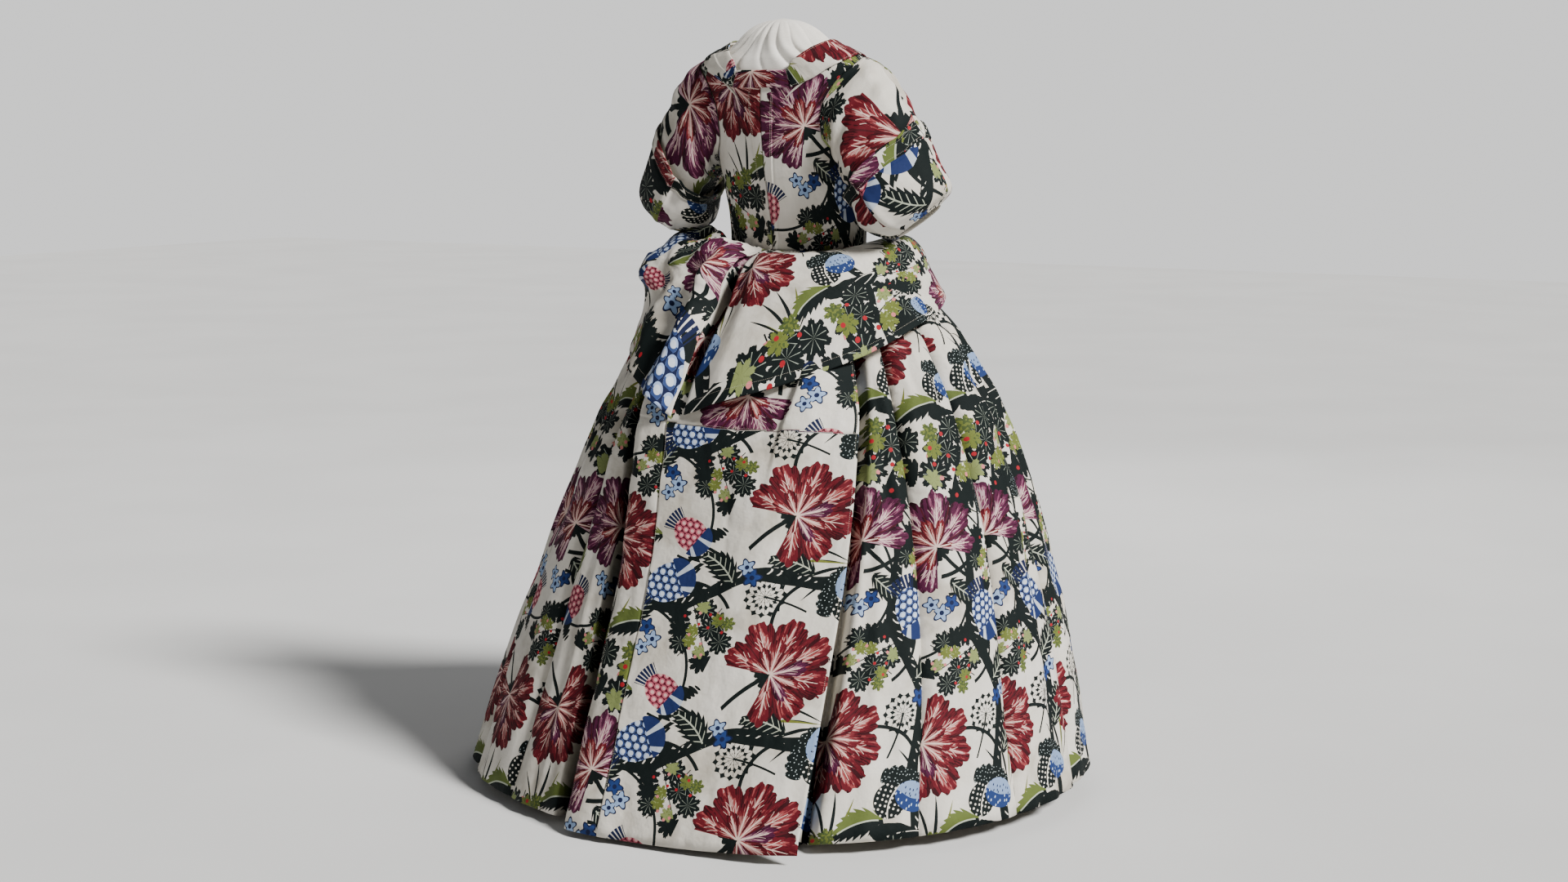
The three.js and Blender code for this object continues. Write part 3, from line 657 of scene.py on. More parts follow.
def sleeve_point(turn, share):
    """A smooth tube from the armhole, where share is 0, to the elbow, where it is 1."""
    turn = np.mod(turn, TURNS)
    angle, z = armhole_angle(turn), armhole_z(turn)
    start = on_body(angle, z, LAYER + 1.1 + 0 * angle)
    over_top = facing(turn)
    normal = normal_of(body_point, angle, z, 0.25, 0.4)
    outwards = unit(normal + vec(-0.5, 0, -0.5 * over_top))
    carry = mix(70, 190, over_top)[..., None]
    end = elbow_point(turn)
    second = start + outwards * carry / 3
    third = end - elbow_axis * 130 / 3
    t = np.asarray(share)[..., None]
    return (1 - t) ** 3 * start + 3 * (1 - t) ** 2 * t * second + 3 * (1 - t) * t**2 * third + t**3 * end


def on_sleeve(turn, share, lift):
    """A point lift mm off the sleeve, which is full behind the arm and drawn in at the elbow."""
    within = np.clip(share, 0.02, 0.98)
    normal = normal_of(sleeve_point, turn, within, 0.05, 0.01)
    outer = facing(turn + 0.3)
    narrowed = (4 + 20 * outer) * smooth((np.asarray(share) - 0.74) / 0.26) ** 1.3
    raised = 16 * outer * smooth((np.asarray(share) - 0.82) / 0.18)
    full = 22 * bump(np.mod(turn, TURNS), 4.1, 1.9) * bump(share, 0.5, 0.26)
    moved = normal * (np.asarray(lift) + full - narrowed)[..., None] - elbow_axis * raised[..., None]
    return sleeve_point(turn, share) + moved


def sleeve_lift(turn, share):
    """Wrinkles round the bend of the arm and short gathers at the sleeve's head."""
    back = facing(turn - 3.2)
    bend = bump(share, 0.36, 0.2)
    wrinkles = 3.6 * np.sin(share * 40 + 1.9 * np.sin(np.radians(turn * 60 + 20))) * bend * (0.3 + 0.7 * back)
    near_top = bump(np.minimum(turn, TURNS - turn), 0, 1.7)
    head = 1.1 * np.sin(np.radians(turn * 330)) * bump(share, 0.05, 0.09) * near_top
    folds = 2.6 * ripple(turn / 2.6, share * 2.6, 16)
    hold = smooth(share / 0.05)
    return np.minimum((wrinkles + folds - 2.4) * hold, 1.0) + head


def sleeve_mesh(materials):
    return cloth_mesh(
        "sleeve_right", np.arange(0, TURNS, 0.1), spread([0, 0.5, 1], [60, 34]),
        lambda turn, share: on_sleeve(turn, share, sleeve_lift(turn, share)),
        lambda turn, share, _: (turn * 0.034 + 0.03, 0.30 - share * 0.26),
        period=TURNS, centre=ring_middle, materials=materials,
    )


def cuff_stand(turn, share):
    """How far the cuff stands off the sleeve, most in the wing behind the elbow."""
    around = np.abs(np.mod(turn, TURNS) - CUFF_BACK)
    flare = 5 + 40 * bump(np.minimum(around, TURNS - around), 0, 2.3)
    high = (1 - share) / (1 - CUFF_START)
    drawn_in = 1.45 - 1.12 * smooth((high - 0.42) / 0.5)
    return LAYER + 2 + flare * high**1.3 * drawn_in


def cuff_lift(turn, share):
    """The band round the cuff's top edge, and the pleats that draw the wing in towards the elbow."""
    up = (1 - share) / (1 - CUFF_START)
    around = np.mod(turn, TURNS) - CUFF_BACK
    band = 2.2 * smooth((up - 0.84) / 0.02) - 2.0 * bump(up, 0.826, 0.016) - 1.2 * bump(up, 1, 0.02)
    saw = np.mod(around * 0.62 + up * 0.5, 1)
    drawn = bump(around, 0.1, 1.5) * smooth((0.80 - up) / 0.25)
    radiating = 9.0 * (smooth(saw / 0.8) - smooth((saw - 0.8) / 0.2)) * drawn
    folds = 2.0 * ripple(turn / 2.6, share * 4, 17) * smooth((0.93 - up) / 0.2)
    turned = 9.0 * bump(share, 0.86, 0.10) * smooth((1 - share) / 0.04) - 1.2 * bump(share, 1, 0.02)
    from_fold = np.mod(turn, TURNS) - CUFF_WING_FOLD
    corner_fold = 4.5 * bump(from_fold, -0.12, 0.16) - 7.5 * bump(from_fold, 0.24, 0.2)
    return band + (radiating + folds + corner_fold) * smooth((1 - share) / 0.06) - 0.5 + turned


def cuff_point(turn, share, above=0):
    return on_sleeve(turn, share, cuff_stand(turn, share) + cuff_lift(turn, share) + above)


def cuff_mesh(materials):
    def uv(turn, share, _):
        band, wing = share < CUFF_BAND_END, turn > CUFF_WING_FOLD
        across = turn * 0.037 + 0.16 + 0.06 * band + 0.11 * wing
        return across, 0.52 - share * 0.3 + 0.105 * band - 0.17 * wing

    turns = np.sort(np.append(np.arange(0, TURNS, 0.08), [CUFF_WING_FOLD - 0.002, CUFF_WING_FOLD + 0.002]))
    shares = spread([CUFF_START, CUFF_BAND_END - 0.0001, CUFF_BAND_END + 0.0001, 0.6, 1], [18, 1, 6, 40])
    return cloth_mesh(
        "cuff_right", turns, shares, cuff_point, uv, period=TURNS, centre=ring_middle, materials=materials,
    )


# ---- train ----------------------------------------------------------------------------------------
TRAIN_END = float(row_at_height(TRAIN_HEM_Z))
STRIP = 0.17           # share of the breadth that its left strip takes


def joining_row(share):
    """Row of the seam that joins the breadth's two lengths."""
    return 6.35 + 0.12 * share


def breadth_lift(share, row):
    """Long folds, a knife pleat near the right edge, and the breadth's two seams."""
    low = smooth((row - 4.3) / 2)
    long_folds = 8 * ripple(share * 1.9, row / 5.5, 21) * low * (1 - 0.35 * smooth((row - 8) / 2))
    pleat_at = mix(0.76, 0.64, smooth((row - 5.2) / 2))
    pleat = 17 * smooth((share - pleat_at) / 0.015) * (1 - smooth((share - pleat_at - 0.03) / 0.24))
    pleat = pleat * bump(row, 5.7, 0.95)
    past = row - joining_row(share)
    joined = -1.3 * bump(past, 0, 0.016) - 0.5 * smooth(past / 0.02) * (1 - smooth(past / 0.5))
    creases = (1.9 * ripple(share * 4.5, row, 22) + 0.8 * ripple(share * 11, row * 2.2, 23)) * low
    hem = 5 * np.sin(share * 9 + 1) * smooth((row - 8.6) / 1.4)
    rolled = -1.6 * (bump(share, 0, 0.006) + bump(share, 1, 0.006))
    beside = share - STRIP
    strip = -1.6 * bump(beside, 0, 0.005) + 2.0 * smooth(beside / 0.008) * (1 - smooth(beside / 0.16))
    return np.maximum(long_folds + creases + hem, -2.5) + pleat + joined + rolled + strip + 1.5 * low


def on_train(share, row):
    """A point of the hanging breadth; share goes from its left edge to its right."""
    angle = mix(train_left(row), train_right(row), share)
    edges = train_left_lift(row) * (1 - share) ** 3 + train_right_lift(row) * share**3
    turned_under = 5 * bump(share, 0, 0.03)
    hollow = hollow_between_wings(angle, row)
    lift = train_lift(row) + edges - turned_under - hollow + breadth_lift(share, row)
    return on_crest(leaning(angle, row, 0.75 * hollow), row, lift)


def breadth_uv(share, row, middle):
    """The pattern lies on its side on the breadth and stands upright on its narrow left strip."""
    angle = mix(train_left(row), train_right(row), share)
    aside = (angle - 8) * degree_mm(row) * MM
    upper = row < joining_row(share)
    across, up = 0.31 + 0.22 * upper - aside, length_up(row) + 0.06 + 0.11 * upper
    strip = middle < STRIP
    return np.where(strip, aside * 0.9 + 0.24, up), np.where(strip, length_up(row) + 0.41, across)


def breadth_mesh(materials):
    shares = spread([0, 0.02, STRIP - 0.01, STRIP, STRIP + 0.01, 0.98, 1], [4, 18, 4, 4, 96, 4])
    rows = np.unique(np.append(spread([0.3, 4, TRAIN_END], [14, 96]), spread([6.25, 6.6], [22])))
    return cloth_mesh("train_breadth", shares, rows, on_train, breadth_uv, materials=materials)


def on_wing(edges, puffs, waist_from, waist_to, detail):
    """A wing's surface: share runs along its lower edge, and fall from the waist down to that edge."""
    angles, lows = zip(*edges)
    lowest = curve(angles, lows)

    def place(share, fall):
        low_angle = mix(angles[0], angles[-1], share)
        angle = mix(mix(waist_from, waist_to, share), low_angle, smooth(fall * 1.6))
        row = fall * row_at_height(lowest(low_angle))
        puffed = 0
        for at, across, wide, tall, lift in puffs:
            puffed = puffed + lift * bump(angle, at, wide) * bump(row, across, tall)
        stand = WING_LIFT + puffed * smooth(fall / 0.2) + WING_STAND_OFF * fall**2
        return on_crest(angle, row, stand + detail(share, fall, angle, row))

    return place


def right_wing_detail(share, fall, angle, row):
    """A nearly smooth flap: small gathers into the waist, and a turned edge below."""
    into_waist = (1 - smooth((fall - 0.05) / 0.3)) * smooth(fall / 0.03)
    gathered = 1.6 * np.sin(share * 62 + 3 * np.sin(share * 9)) * into_waist
    waves = 5.5 * ripple(share * 2.4, fall * 1.7, 31) * smooth((fall - 0.12) / 0.3)
    waves = waves + 1.3 * ripple(share * 8, fall * 6, 33) * smooth(fall / 0.1)
    edge_wave = 3.5 * np.sin(share * 15 + 0.6) * smooth((fall - 0.72) / 0.28)
    rolled = -1.4 * (bump(share, 0, 0.008) + bump(share, 1, 0.008) + bump(fall, 1, 0.012))
    proud = 16 * smooth((share - 0.015) / 0.06) * smooth((fall - 0.12) / 0.3)
    return np.maximum(gathered + waves + edge_wave, -2.6) + rolled + proud + 0.8


def left_wing_detail(share, fall, angle, row):
    """Folds that spring from the waist and cross the puff, and the rolled edge beside the train."""
    spring = smooth(fall / 0.04)
    dying = 1 - 0.7 * smooth((fall - 0.1) / 0.5)
    fan = 7.5 * np.sin(share * 34 + 2.6 * np.sin(fall * 6) + 4 * fall) * dying * spring
    second = 5.5 * np.sin(share * 17 - 7 * fall + 1) * smooth((fall - 0.12) / 0.3)
    crumple = (5.5 * ripple(share * 5, fall * 4, 32) + 1.2 * ripple(share * 13, fall * 10, 34)) * spring
    lower = smooth((fall - 0.10) / 0.25)
    roll = 38 * bump(share, 0.945, 0.040) * lower + 16 * bump(share, 0.80, 0.05) * lower
    edge_wave = 4 * np.sin(share * 19) * smooth((fall - 0.75) / 0.25)
    rolled = -1.4 * bump(fall, 1, 0.012)
    peaks = 24 * bump(angle, -62, 5) * bump(row, 0.95, 0.5) + 18 * bump(angle, -43, 4) * bump(row, 0.8, 0.42)
    hip = 40 * bump(share, 0.57, 0.15) * bump(fall, 0.76, 0.15)
    hip = hip - 6 * bump(share, 0.55, 0.1) * bump(fall, 0.5, 0.1)
    hip = hip - 10 * bump(share, 0.70, 0.1) * bump(fall, 1, 0.1)
    return np.maximum(fan + second + crumple + edge_wave + roll + peaks, -2.8) + rolled + 1 + hip


def wing_mesh(name, place, turned, across, materials):
    """A wing; its silk lies turned by so many degrees, and is across metres wide round the hip."""
    lean_cos, lean_sin = math.cos(math.radians(turned)), math.sin(math.radians(turned))

    def uv(share, fall, _):
        x, y = share * across, -fall * WING_LONG
        return x * lean_cos - y * lean_sin + 0.1, x * lean_sin + y * lean_cos + 0.3

    return cloth_mesh(
        name, spread([0, 0.04, 0.8, 1], [8, 130, 50]), spread([0, 0.3, 0.96, 1], [34, 66, 6]), place, uv,
        materials=materials,
    )


# ---- stitches -------------------------------------------------------------------------------------
PROUD = 0.12           # mm that the stitches stand above their silk
STITCH_INPUTS = [
    ("Path", "Geometry"), ("Pitch", "Float"), ("Length", "Float"), ("Thread", "Float"), ("Seed", "Int"),
    ("Finish", "Material"),
]


def stitch_tree():
    """Running stitches along a path, each a small grain of thread."""
    tree = bpy.data.node_groups.new("running_stitches", "GeometryNodeTree")
    for name, kind in STITCH_INPUTS:
        tree.interface.new_socket(name, in_out="INPUT", socket_type="NodeSocket" + kind)
    tree.interface.new_socket("Stitches", in_out="OUTPUT", socket_type="NodeSocketGeometry")

    def add(kind, sockets, **settings):
        made = tree.nodes.new(kind)
        for name, setting in settings.items():
            setattr(made, name, setting)
        for name, value in sockets.items():
            if isinstance(value, bpy.types.NodeSocket):
                tree.links.new(value, made.inputs[name])
            else:
                made.inputs[name].default_value = value
        return made.outputs

    given = tree.nodes.new("NodeGroupInput").outputs
    path = add("GeometryNodeMeshToCurve", {"Mesh": given["Path"]})[0]
    places = add("GeometryNodeCurveToPoints", {"Curve": path, "Length": given["Pitch"]}, mode="LENGTH")
    grain = add("GeometryNodeMeshUVSphere", {"Segments": 6, "Rings": 4, "Radius": 0.5})[0]
    size = add("ShaderNodeCombineXYZ", {"X": given["Thread"], "Y": given["Thread"], "Z": given["Length"]})[0]
    uneven = add(
        "FunctionNodeRandomValue", {"Min": (0.8, 0.8, 0.8), "Max": (1.15, 1.15, 1.15), "Seed": given["Seed"]},
        data_type="FLOAT_VECTOR",
    )[0]
    sized = add("ShaderNodeVectorMath", {0: size, 1: uneven}, operation="MULTIPLY")[0]
    laid = add("GeometryNodeInstanceOnPoints", {
        "Points": places["Points"], "Instance": grain, "Rotation": places["Rotation"], "Scale": sized,
    })[0]
    real = add("GeometryNodeRealizeInstances", {"Geometry": laid})[0]
    done = add("GeometryNodeSetMaterial", {"Geometry": real, "Material": given["Finish"]})[0]
    add("NodeGroupOutput", {"Stitches": done})
    return tree


def stitches_mesh(name, paths, tree, thread, flip=1):
    """Rows of stitches along paths in mm; flip is -1 for the wearer's left."""
    points = [tuple(point) for path in paths for point in path * MM * [flip, 1, 1]]
    starts = np.cumsum([0] + [len(path) for path in paths])
    edges = [(i, i + 1) for first, last in zip(starts, starts[1:]) for i in range(first, last - 1)]
    guide = bpy.data.meshes.new(name + "_path")
    guide.from_pydata(points, edges, [])
    maker = placed(name + "_path", guide)
    modifier = maker.modifiers.new("stitches", "NODES")
    modifier.node_group = tree
    values = {"Pitch": 0.0034, "Length": 0.0023, "Thread": 0.0005, "Seed": 7, "Finish": thread}
    for socket in tree.interface.items_tree:
        if socket.name in values:
            modifier[socket.identifier] = values[socket.name]
    graph = bpy.context.evaluated_depsgraph_get()
    sewn_rows = bpy.data.meshes.new_from_object(maker.evaluated_get(graph), depsgraph=graph)
    bpy.data.objects.remove(maker)
    return sewn_rows


def back_stitches():
    z = np.linspace(1000, 1282, 90)
    across = pleat_strip(z)
    rows = []
    for inset in (1.6, 4.2):
        angle = np.degrees((across - inset) / body_side(z))
        rows.append(on_body(angle, z, back_lift(angle, z) + PROUD))
    return rows


def robing_stitches():
    along = np.linspace(0.05, 8.9, 260)
    return [robing_point(0 * along + share, along, PROUD) for share in (0.06, 0.94)]


def cuff_stitches():
    turn = np.linspace(0, 11.98, 240)
    rows = []
    for up in (0.865, 0.965):
        share = 1 - up * (1 - CUFF_START) + 0 * turn
        rows.append(cuff_point(turn, share, PROUD))
    return rows


def train_stitches():
    share, row = np.linspace(0.02, 0.98, 150), np.linspace(4.6, 9.98, 300)
    down = [on_train(0 * row + side, row) for side in (0.012, STRIP + 0.008, 0.988)]
    return [on_train(share, joining_row(share) - 0.02), *down]


def wing_stitches(place):
    share = np.linspace(0.02, 0.98, 220)
    return [place(share, 0 * share + 0.972)]


# ---- finishes -------------------------------------------------------------------------------------
class Value:
    """A socket of a finish, so that shader maths reads as arithmetic."""

    def __init__(self, finish, socket):
        self.finish, self.socket = finish, socket

    def __add__(self, other):
        return self.finish.math("ADD", self, other)

    def __sub__(self, other):
        return self.finish.math("SUBTRACT", self, other)

    def __rsub__(self, other):
        return self.finish.math("SUBTRACT", other, self)

    def __mul__(self, other):
        return self.finish.math("MULTIPLY", self, other)

    def __truediv__(self, other):
        return self.finish.math("DIVIDE", self, other)

    def __rtruediv__(self, other):
        return self.finish.math("DIVIDE", other, self)

    def __lt__(self, other):
        return self.finish.math("LESS_THAN", self, other)

    def __gt__(self, other):
        return self.finish.math("GREATER_THAN", self, other)

    def __abs__(self):
        return self.finish.math("ABSOLUTE", self)

    __radd__ = __add__
    __rmul__ = __mul__

    def sine(self):
        return self.finish.math("SINE", self)

    def rounded(self):
        return self.finish.math("ROUND", self)

    def floor(self):
        return self.finish.math("FLOOR", self)

    def fraction(self):
        return self.finish.math("FRACT", self)

    def least(self, other):
        return self.finish.math("MINIMUM", self, other)

    def most(self, other):
        return self.finish.math("MAXIMUM", self, other)


class Finish:
    """One material and the nodes in it."""

    def __init__(self, name, metallic=0.0, sheen=0.0, specular=0.5):
        self.material = bpy.data.materials.new(name)
        self.material.use_nodes = True
        self.tree = self.material.node_tree
        self.tree.nodes.clear()
        self.shader = self.node("BsdfPrincipled", {}, {
            "Metallic": metallic, "Sheen Weight": sheen, "Sheen Roughness": 0.4,
            "Specular IOR Level": specular,
        })
        self.node("OutputMaterial", {}, {"Surface": Value(self, self.shader.outputs[0])})

    def node(self, kind, settings=None, sockets=None):
        made = self.tree.nodes.new("ShaderNode" + kind)
        for name, setting in (settings or {}).items():
            if name == "stops":
                ramp = made.color_ramp
                while len(ramp.elements) < len(setting):
                    ramp.elements.new(1)
                for stop, (place, colour) in zip(ramp.elements, setting):
                    stop.position, stop.color = place, (*colour, 1)
            elif name == "steps":
                made.color_ramp.interpolation = setting
            else:
                setattr(made, name, setting)
        self.fill(made, sockets or {})
        return made

    def fill(self, made, sockets):
        for name, value in sockets.items():
            if isinstance(value, Value):
                self.tree.links.new(value.socket, made.inputs[name])
            else:
                made.inputs[name].default_value = value

    def on_object(self):
        """Place on the object, in metres."""
        return Value(self, self.node("TexCoord").outputs["Object"])

    def on_cloth(self):
        """Place on the flat cloth, in metres."""
        return Value(self, self.node("UVMap", {"uv_map": "cloth"}).outputs[0])

    def math(self, operation, *values):
        made = self.node("Math", {"operation": operation}, dict(enumerate(values)))
        return Value(self, made.outputs[0])

    def vector(self, operation, *values):
        made = self.node("VectorMath", {"operation": operation}, dict(enumerate(values)))
        return Value(self, made.outputs[1 if operation in ("LENGTH", "DOT_PRODUCT", "DISTANCE") else 0])

    def join(self, x, y, z=0.0):
        return Value(self, self.node("CombineXYZ", {}, {"X": x, "Y": y, "Z": z}).outputs[0])

    def split(self, place):
        made = self.node("SeparateXYZ", {}, {"Vector": place})
        return [Value(self, socket) for socket in made.outputs]

    def noise(self, place, scale, detail=2.0, rough=0.5):
        made = self.node("TexNoise", {"noise_dimensions": "3D"}, {
            "Vector": place, "Scale": scale, "Detail": detail, "Roughness": rough,
        })
        return Value(self, made.outputs[0])

    def cells(self, place, scale, randomness=1.0):
        """Distance to the nearest scattered point, its random colour and its place."""
        made = self.node("TexVoronoi", {"voronoi_dimensions": "2D"}, {
            "Vector": place, "Scale": scale, "Randomness": randomness,
        })
        return [Value(self, made.outputs[name]) for name in ("Distance", "Color", "Position")]

    def ramp(self, factor, stops, steps="CONSTANT"):
        made = self.node("ValToRGB", {"stops": stops, "steps": steps}, {"Fac": factor})
        return Value(self, made.outputs[0])

    def blend(self, factor, first, second):
        """The second colour over the first."""
        colours = [c if isinstance(c, Value) else (*c, 1) for c in (first, second)]
        made = self.node("Mix", {"data_type": "RGBA"}, {0: factor, 6: colours[0], 7: colours[1]})
        return Value(self, made.outputs[2])

    def bump(self, height, strength, distance):
        made = self.node("Bump", {}, {"Height": height, "Strength": strength, "Distance": distance})
        return Value(self, made.outputs[0])

    def wear(self, colour, roughness, normal):
        self.fill(self.shader, {"Base Color": colour, "Roughness": roughness, "Normal": normal})
        return self.material


INK = (0.0018, 0.0055, 0.0055)        # black-green of trunks and dark leaves
NAVY = (0.005, 0.010, 0.045)
IVORY = (0.66, 0.625, 0.555)
CREAM = (0.72, 0.68, 0.60)
# tones from pale to deep
CRIMSONS = [(0, (0.52, 0.26, 0.24)), (0.20, (0.27, 0.048, 0.050)), (0.34, (0.105, 0.0045, 0.011)),
            (0.62, (0.030, 0.0012, 0.004)), (0.84, (0.090, 0.004, 0.009))]
PLUMS = [(0, (0.52, 0.34, 0.37)), (0.20, (0.22, 0.066, 0.12)), (0.34, (0.062, 0.006, 0.031)),
         (0.62, (0.018, 0.0012, 0.006)), (0.84, (0.13, 0.032, 0.078))]
# where each motif stands in one repeat: across, up, heading in degrees, radius, kind
FLOWERS = [(0.076, 0.145, 150, 0.080, 0), (0.100, 0.520, -35, 0.078, 1)]
FRUITS = [(0.212, 0.372, -28, 0.058, 0), (0.022, 0.345, 35, 0.048, 1)]
SPOTTED = [(0.203, 0.060, 20, 0.056, 0), (0.262, 0.575, -60, 0.040, 1)]
CROWNS = [(0.190, 0.648, 0, 0.092, 0), (0.040, 0.682, 70, 0.078, 1), (0.232, 0.470, 140, 0.058, 2),
          (0.130, 0.300, 200, 0.060, 4)]
LEAVES = [(0.246, 0.280, 40, 0.044, 0), (0.160, 0.415, 120, 0.038, 0), (0.125, 0.020, -105, 0.046, 1),
          (0.258, 0.160, 15, 0.042, 0), (0.012, 0.440, -20, 0.040, 1)]
STARS = [(0.110, 0.385, 0, 0.016, 0), (0.130, 0.400, 20, 0.015, 1), (0.094, 0.402, 45, 0.014, 0),
         (0.228, 0.225, 10, 0.016, 1), (0.246, 0.236, 50, 0.015, 0)]
UMBELS = [(0.196, 0.198, 10, 0.040, 0), (0.272, 0.655, -30, 0.034, 0)]
GRASSES = [(0.245, 0.098, -10, 0.056, 0), (0.080, 0.012, 15, 0.052, 0), (0.180, 0.545, 160, 0.044, 0)]
# twigs as parts of circles: centre, radius, half the twig's width and the direction in which the circle shows
TWIGS = [(0.130, 0.330, 0.085, 0.0030, (1, 0.3)), (0.110, 0.560, 0.112, 0.0038, (1, -0.2)),
         (0.050, 0.430, 0.120, 0.0026, (0.9, -0.6)), (0.150, 0.100, 0.080, 0.0032, (0.6, 0.9)),
         (0.290, 0.390, 0.085, 0.0024, (-1, 0.4))]


class Brocade(Finish):
    """Ivory silk brocaded with flowers, fruit, leaves and branches in a made-up layout of a common kind."""

    def __init__(self):
        super().__init__("brocaded_silk", sheen=0.0, specular=0.16)
        self.cloth = self.on_cloth()

    def wrapped(self, x, y):
        """The way from the nearest repeat of (x, y), in metres."""
        half = (REPEAT_WIDE / 2, REPEAT_TALL / 2, 1)
        away = self.vector("SUBTRACT", self.cloth, (x, y, 0))
        return self.vector("WRAP", away, half, tuple(-h for h in half))

    def nearest(self, places):
        """Position, distance, across, up and kind in the nearest of a motif's places; its radius is 1."""
        best, best_away = None, None
        for x, y, heading, radius, kind in places:
            mapping = self.node("Mapping", {}, {
                "Vector": self.wrapped(x, y), "Location": (0, 0, kind * 0.001),
                "Rotation": (0, 0, math.radians(heading)), "Scale": (1 / radius, 1 / radius, 1),
            })
            local = Value(self, mapping.outputs[0])
            away = self.vector("LENGTH", local)
            if best is None:
                best, best_away = local, away
                continue
            chosen = self.node("Mix", {"data_type": "VECTOR"}, {0: away < best_away, 4: best, 5: local})
            best, best_away = Value(self, chosen.outputs[1]), best_away.least(away)
        x, y, kind = self.split(best)
        return best, best_away, x, y, kind * 1000

    def over(self, colour, mask, shown):
        return self.blend(mask, colour, shown)

    def round(self, x, y):
        return self.vector("LENGTH", self.join(x, y))

    def trunk(self, colour, u, v):
        """A dark trunk that sways from side to side up the cloth, with pale bark, on a dark bank."""
        once = 2 * math.pi / REPEAT_TALL
        bend = (v * once + 0.6).sine() * 0.034 + (v * (3 * once) + 2).sine() * 0.013
        x = self.math("WRAP", u - bend - 0.200, REPEAT_WIDE / 2, -REPEAT_WIDE / 2)
        width = (v * once - 0.5).sine() * 0.0028 + (v * (once * 9)).sine() * 0.0012 + 0.0098
        body = abs(x) < width
        bark = (abs((v * 62 + (x * 160).sine() * 0.5).fraction() - 0.5) < 0.10) * (x > 0.001)
        bark = bark * (self.noise(self.cloth, 34, 0) > 0.48) * (x < width * 0.82)
        bank_x, bank_y, _ = self.split(self.wrapped(0.205, 0.735))
        ragged = self.noise(self.cloth, 42, 2) * 0.5 - 0.25
        bank = self.round(bank_x / 0.066, (bank_y + (bank_x * 40).sine() * 0.008) / 0.021) < 0.9 + ragged
        outline = abs(self.round((bank_x - 0.012) / 0.045, (bank_y + 0.004) / 0.010) - 0.9) < 0.07
        colour = self.over(colour, body.most(bank), INK)
        return self.over(colour, (body * bark).most(bank * outline), CREAM)

    def twigs(self, colour):
        for x, y, radius, width, side in TWIGS:
            away = self.wrapped(x, y)
            shown = self.vector("DOT_PRODUCT", away, (*side, 0)) > radius * 0.25
            line = abs(self.vector("LENGTH", away) - radius) < width
            colour = self.over(colour, line * shown, INK)
        return colour

    def crowns(self, colour):
        """Heads of lobed leaves, dark behind and green before, with berries among them."""
        local, rho, x, y, kind = self.nearest(CROWNS)
        theta = self.math("ARCTAN2", y, x)
        stalks = (abs((theta * 3 + kind).sine()) * rho < 0.045) * (rho < 0.9)
        colour = self.over(colour, stalks, INK)
        for scale, lobes, fill, limit in ((1.55, 9, 0.40, 0.08), (2.15, 7, 0.30, 0.44)):
            seeded = self.vector("ADD", self.vector("MULTIPLY", local, (1, 1, 0)), (scale, 0, 0))
            _, random, place = self.cells(seeded, scale, 0.75)
            dx, dy, _ = self.split(self.vector("SUBTRACT", seeded, place))
            r, g, b = self.split(random)
            turn = self.math("ARCTAN2", dy, dx)
            away = self.round(dx, dy) * scale
            lobe = abs((turn * (lobes / 2) + r * 6).sine())
            reach = lobe * 0.20 + abs((turn * (lobes * 2)).sine()) * 0.055 + fill - 0.06
            middle = self.vector("LENGTH", self.vector("SUBTRACT", place, (scale, 0, 0)))
            mask = (away < reach) * (middle < 0.86) * (g > limit)
            if limit < 0.2:
                colour = self.over(colour, mask, INK)
                vein = (lobe > 0.992) * (away < reach - 0.20) * (b > 0.6)
                colour = self.over(colour, mask * vein, (0.30, 0.34, 0.28))
                continue
            leaf = self.ramp(b + self.noise(local, 16, 0) * 0.5 - 0.25, [
                (0, (0.055, 0.080, 0.022)), (0.36, (0.120, 0.145, 0.028)), (0.66, (0.205, 0.245, 0.085)),
            ])
            vein = (lobe < 0.05) * (away < reach + 0.02) * (away > 0.08)
            colour = self.over(self.over(colour, mask, leaf), mask * vein, INK)
        dots, random, _ = self.cells(local, 2.9, 0.9)
        red, _, _ = self.split(random)
        berry = self.ramp(red, [(0, (0.33, 0.010, 0.018)), (0.5, (0.56, 0.17, 0.17))])
        return self.over(colour, (dots < 0.13) * (rho < 0.75) * (red > 0.25), berry)

    def leaves(self, colour):
        """Single toothed leaves with a pale rib."""
        _, _, x, y, kind = self.nearest(LEAVES)
        bend = x + y * y * 0.22
        teeth = (y * 3.4 - abs(bend) * 2).fraction() * 0.17
        width = (1 - y * y) * 0.42 + teeth
        leaf = (abs(bend) < width) * (abs(y) < 0.96)
        side = self.blend(kind * (bend > 0.02), INK, (0.095, 0.125, 0.028))
        colour = self.over(colour, leaf, side)
        rib = (abs(bend) < 0.030) * (abs(y) < 0.8)
        ribs = (abs((y * 3.4 - abs(bend) * 3.0).fraction() - 0.5) < 0.07) * (abs(bend) < width * 0.62)
        return self.over(colour, leaf * rib.most(ribs * (kind < 0.5)), (0.40, 0.43, 0.34))

    def umbels(self, colour):
        """Round sprays of thin rays that end in seeds."""
        _, rho, x, y, _ = self.nearest(UMBELS)
        theta = self.math("ARCTAN2", x, y)
        rays = (abs((theta * 5).sine()) * rho < 0.05) * (rho < 0.72)
        ring = (rho * 3.2).fraction() - 0.5
        seeds = (abs((theta * 7 + (rho * 3.2).floor() * 1.3).sine()) * 0.42 + abs(ring) < 0.44) * (rho < 0.95)
        stalk = (abs(x + y * y * 0.08) < 0.045) * (y < 0) * (y > -1.9)
        return self.over(colour, rays.most(seeds * (rho > 0.22)).most(stalk), INK)

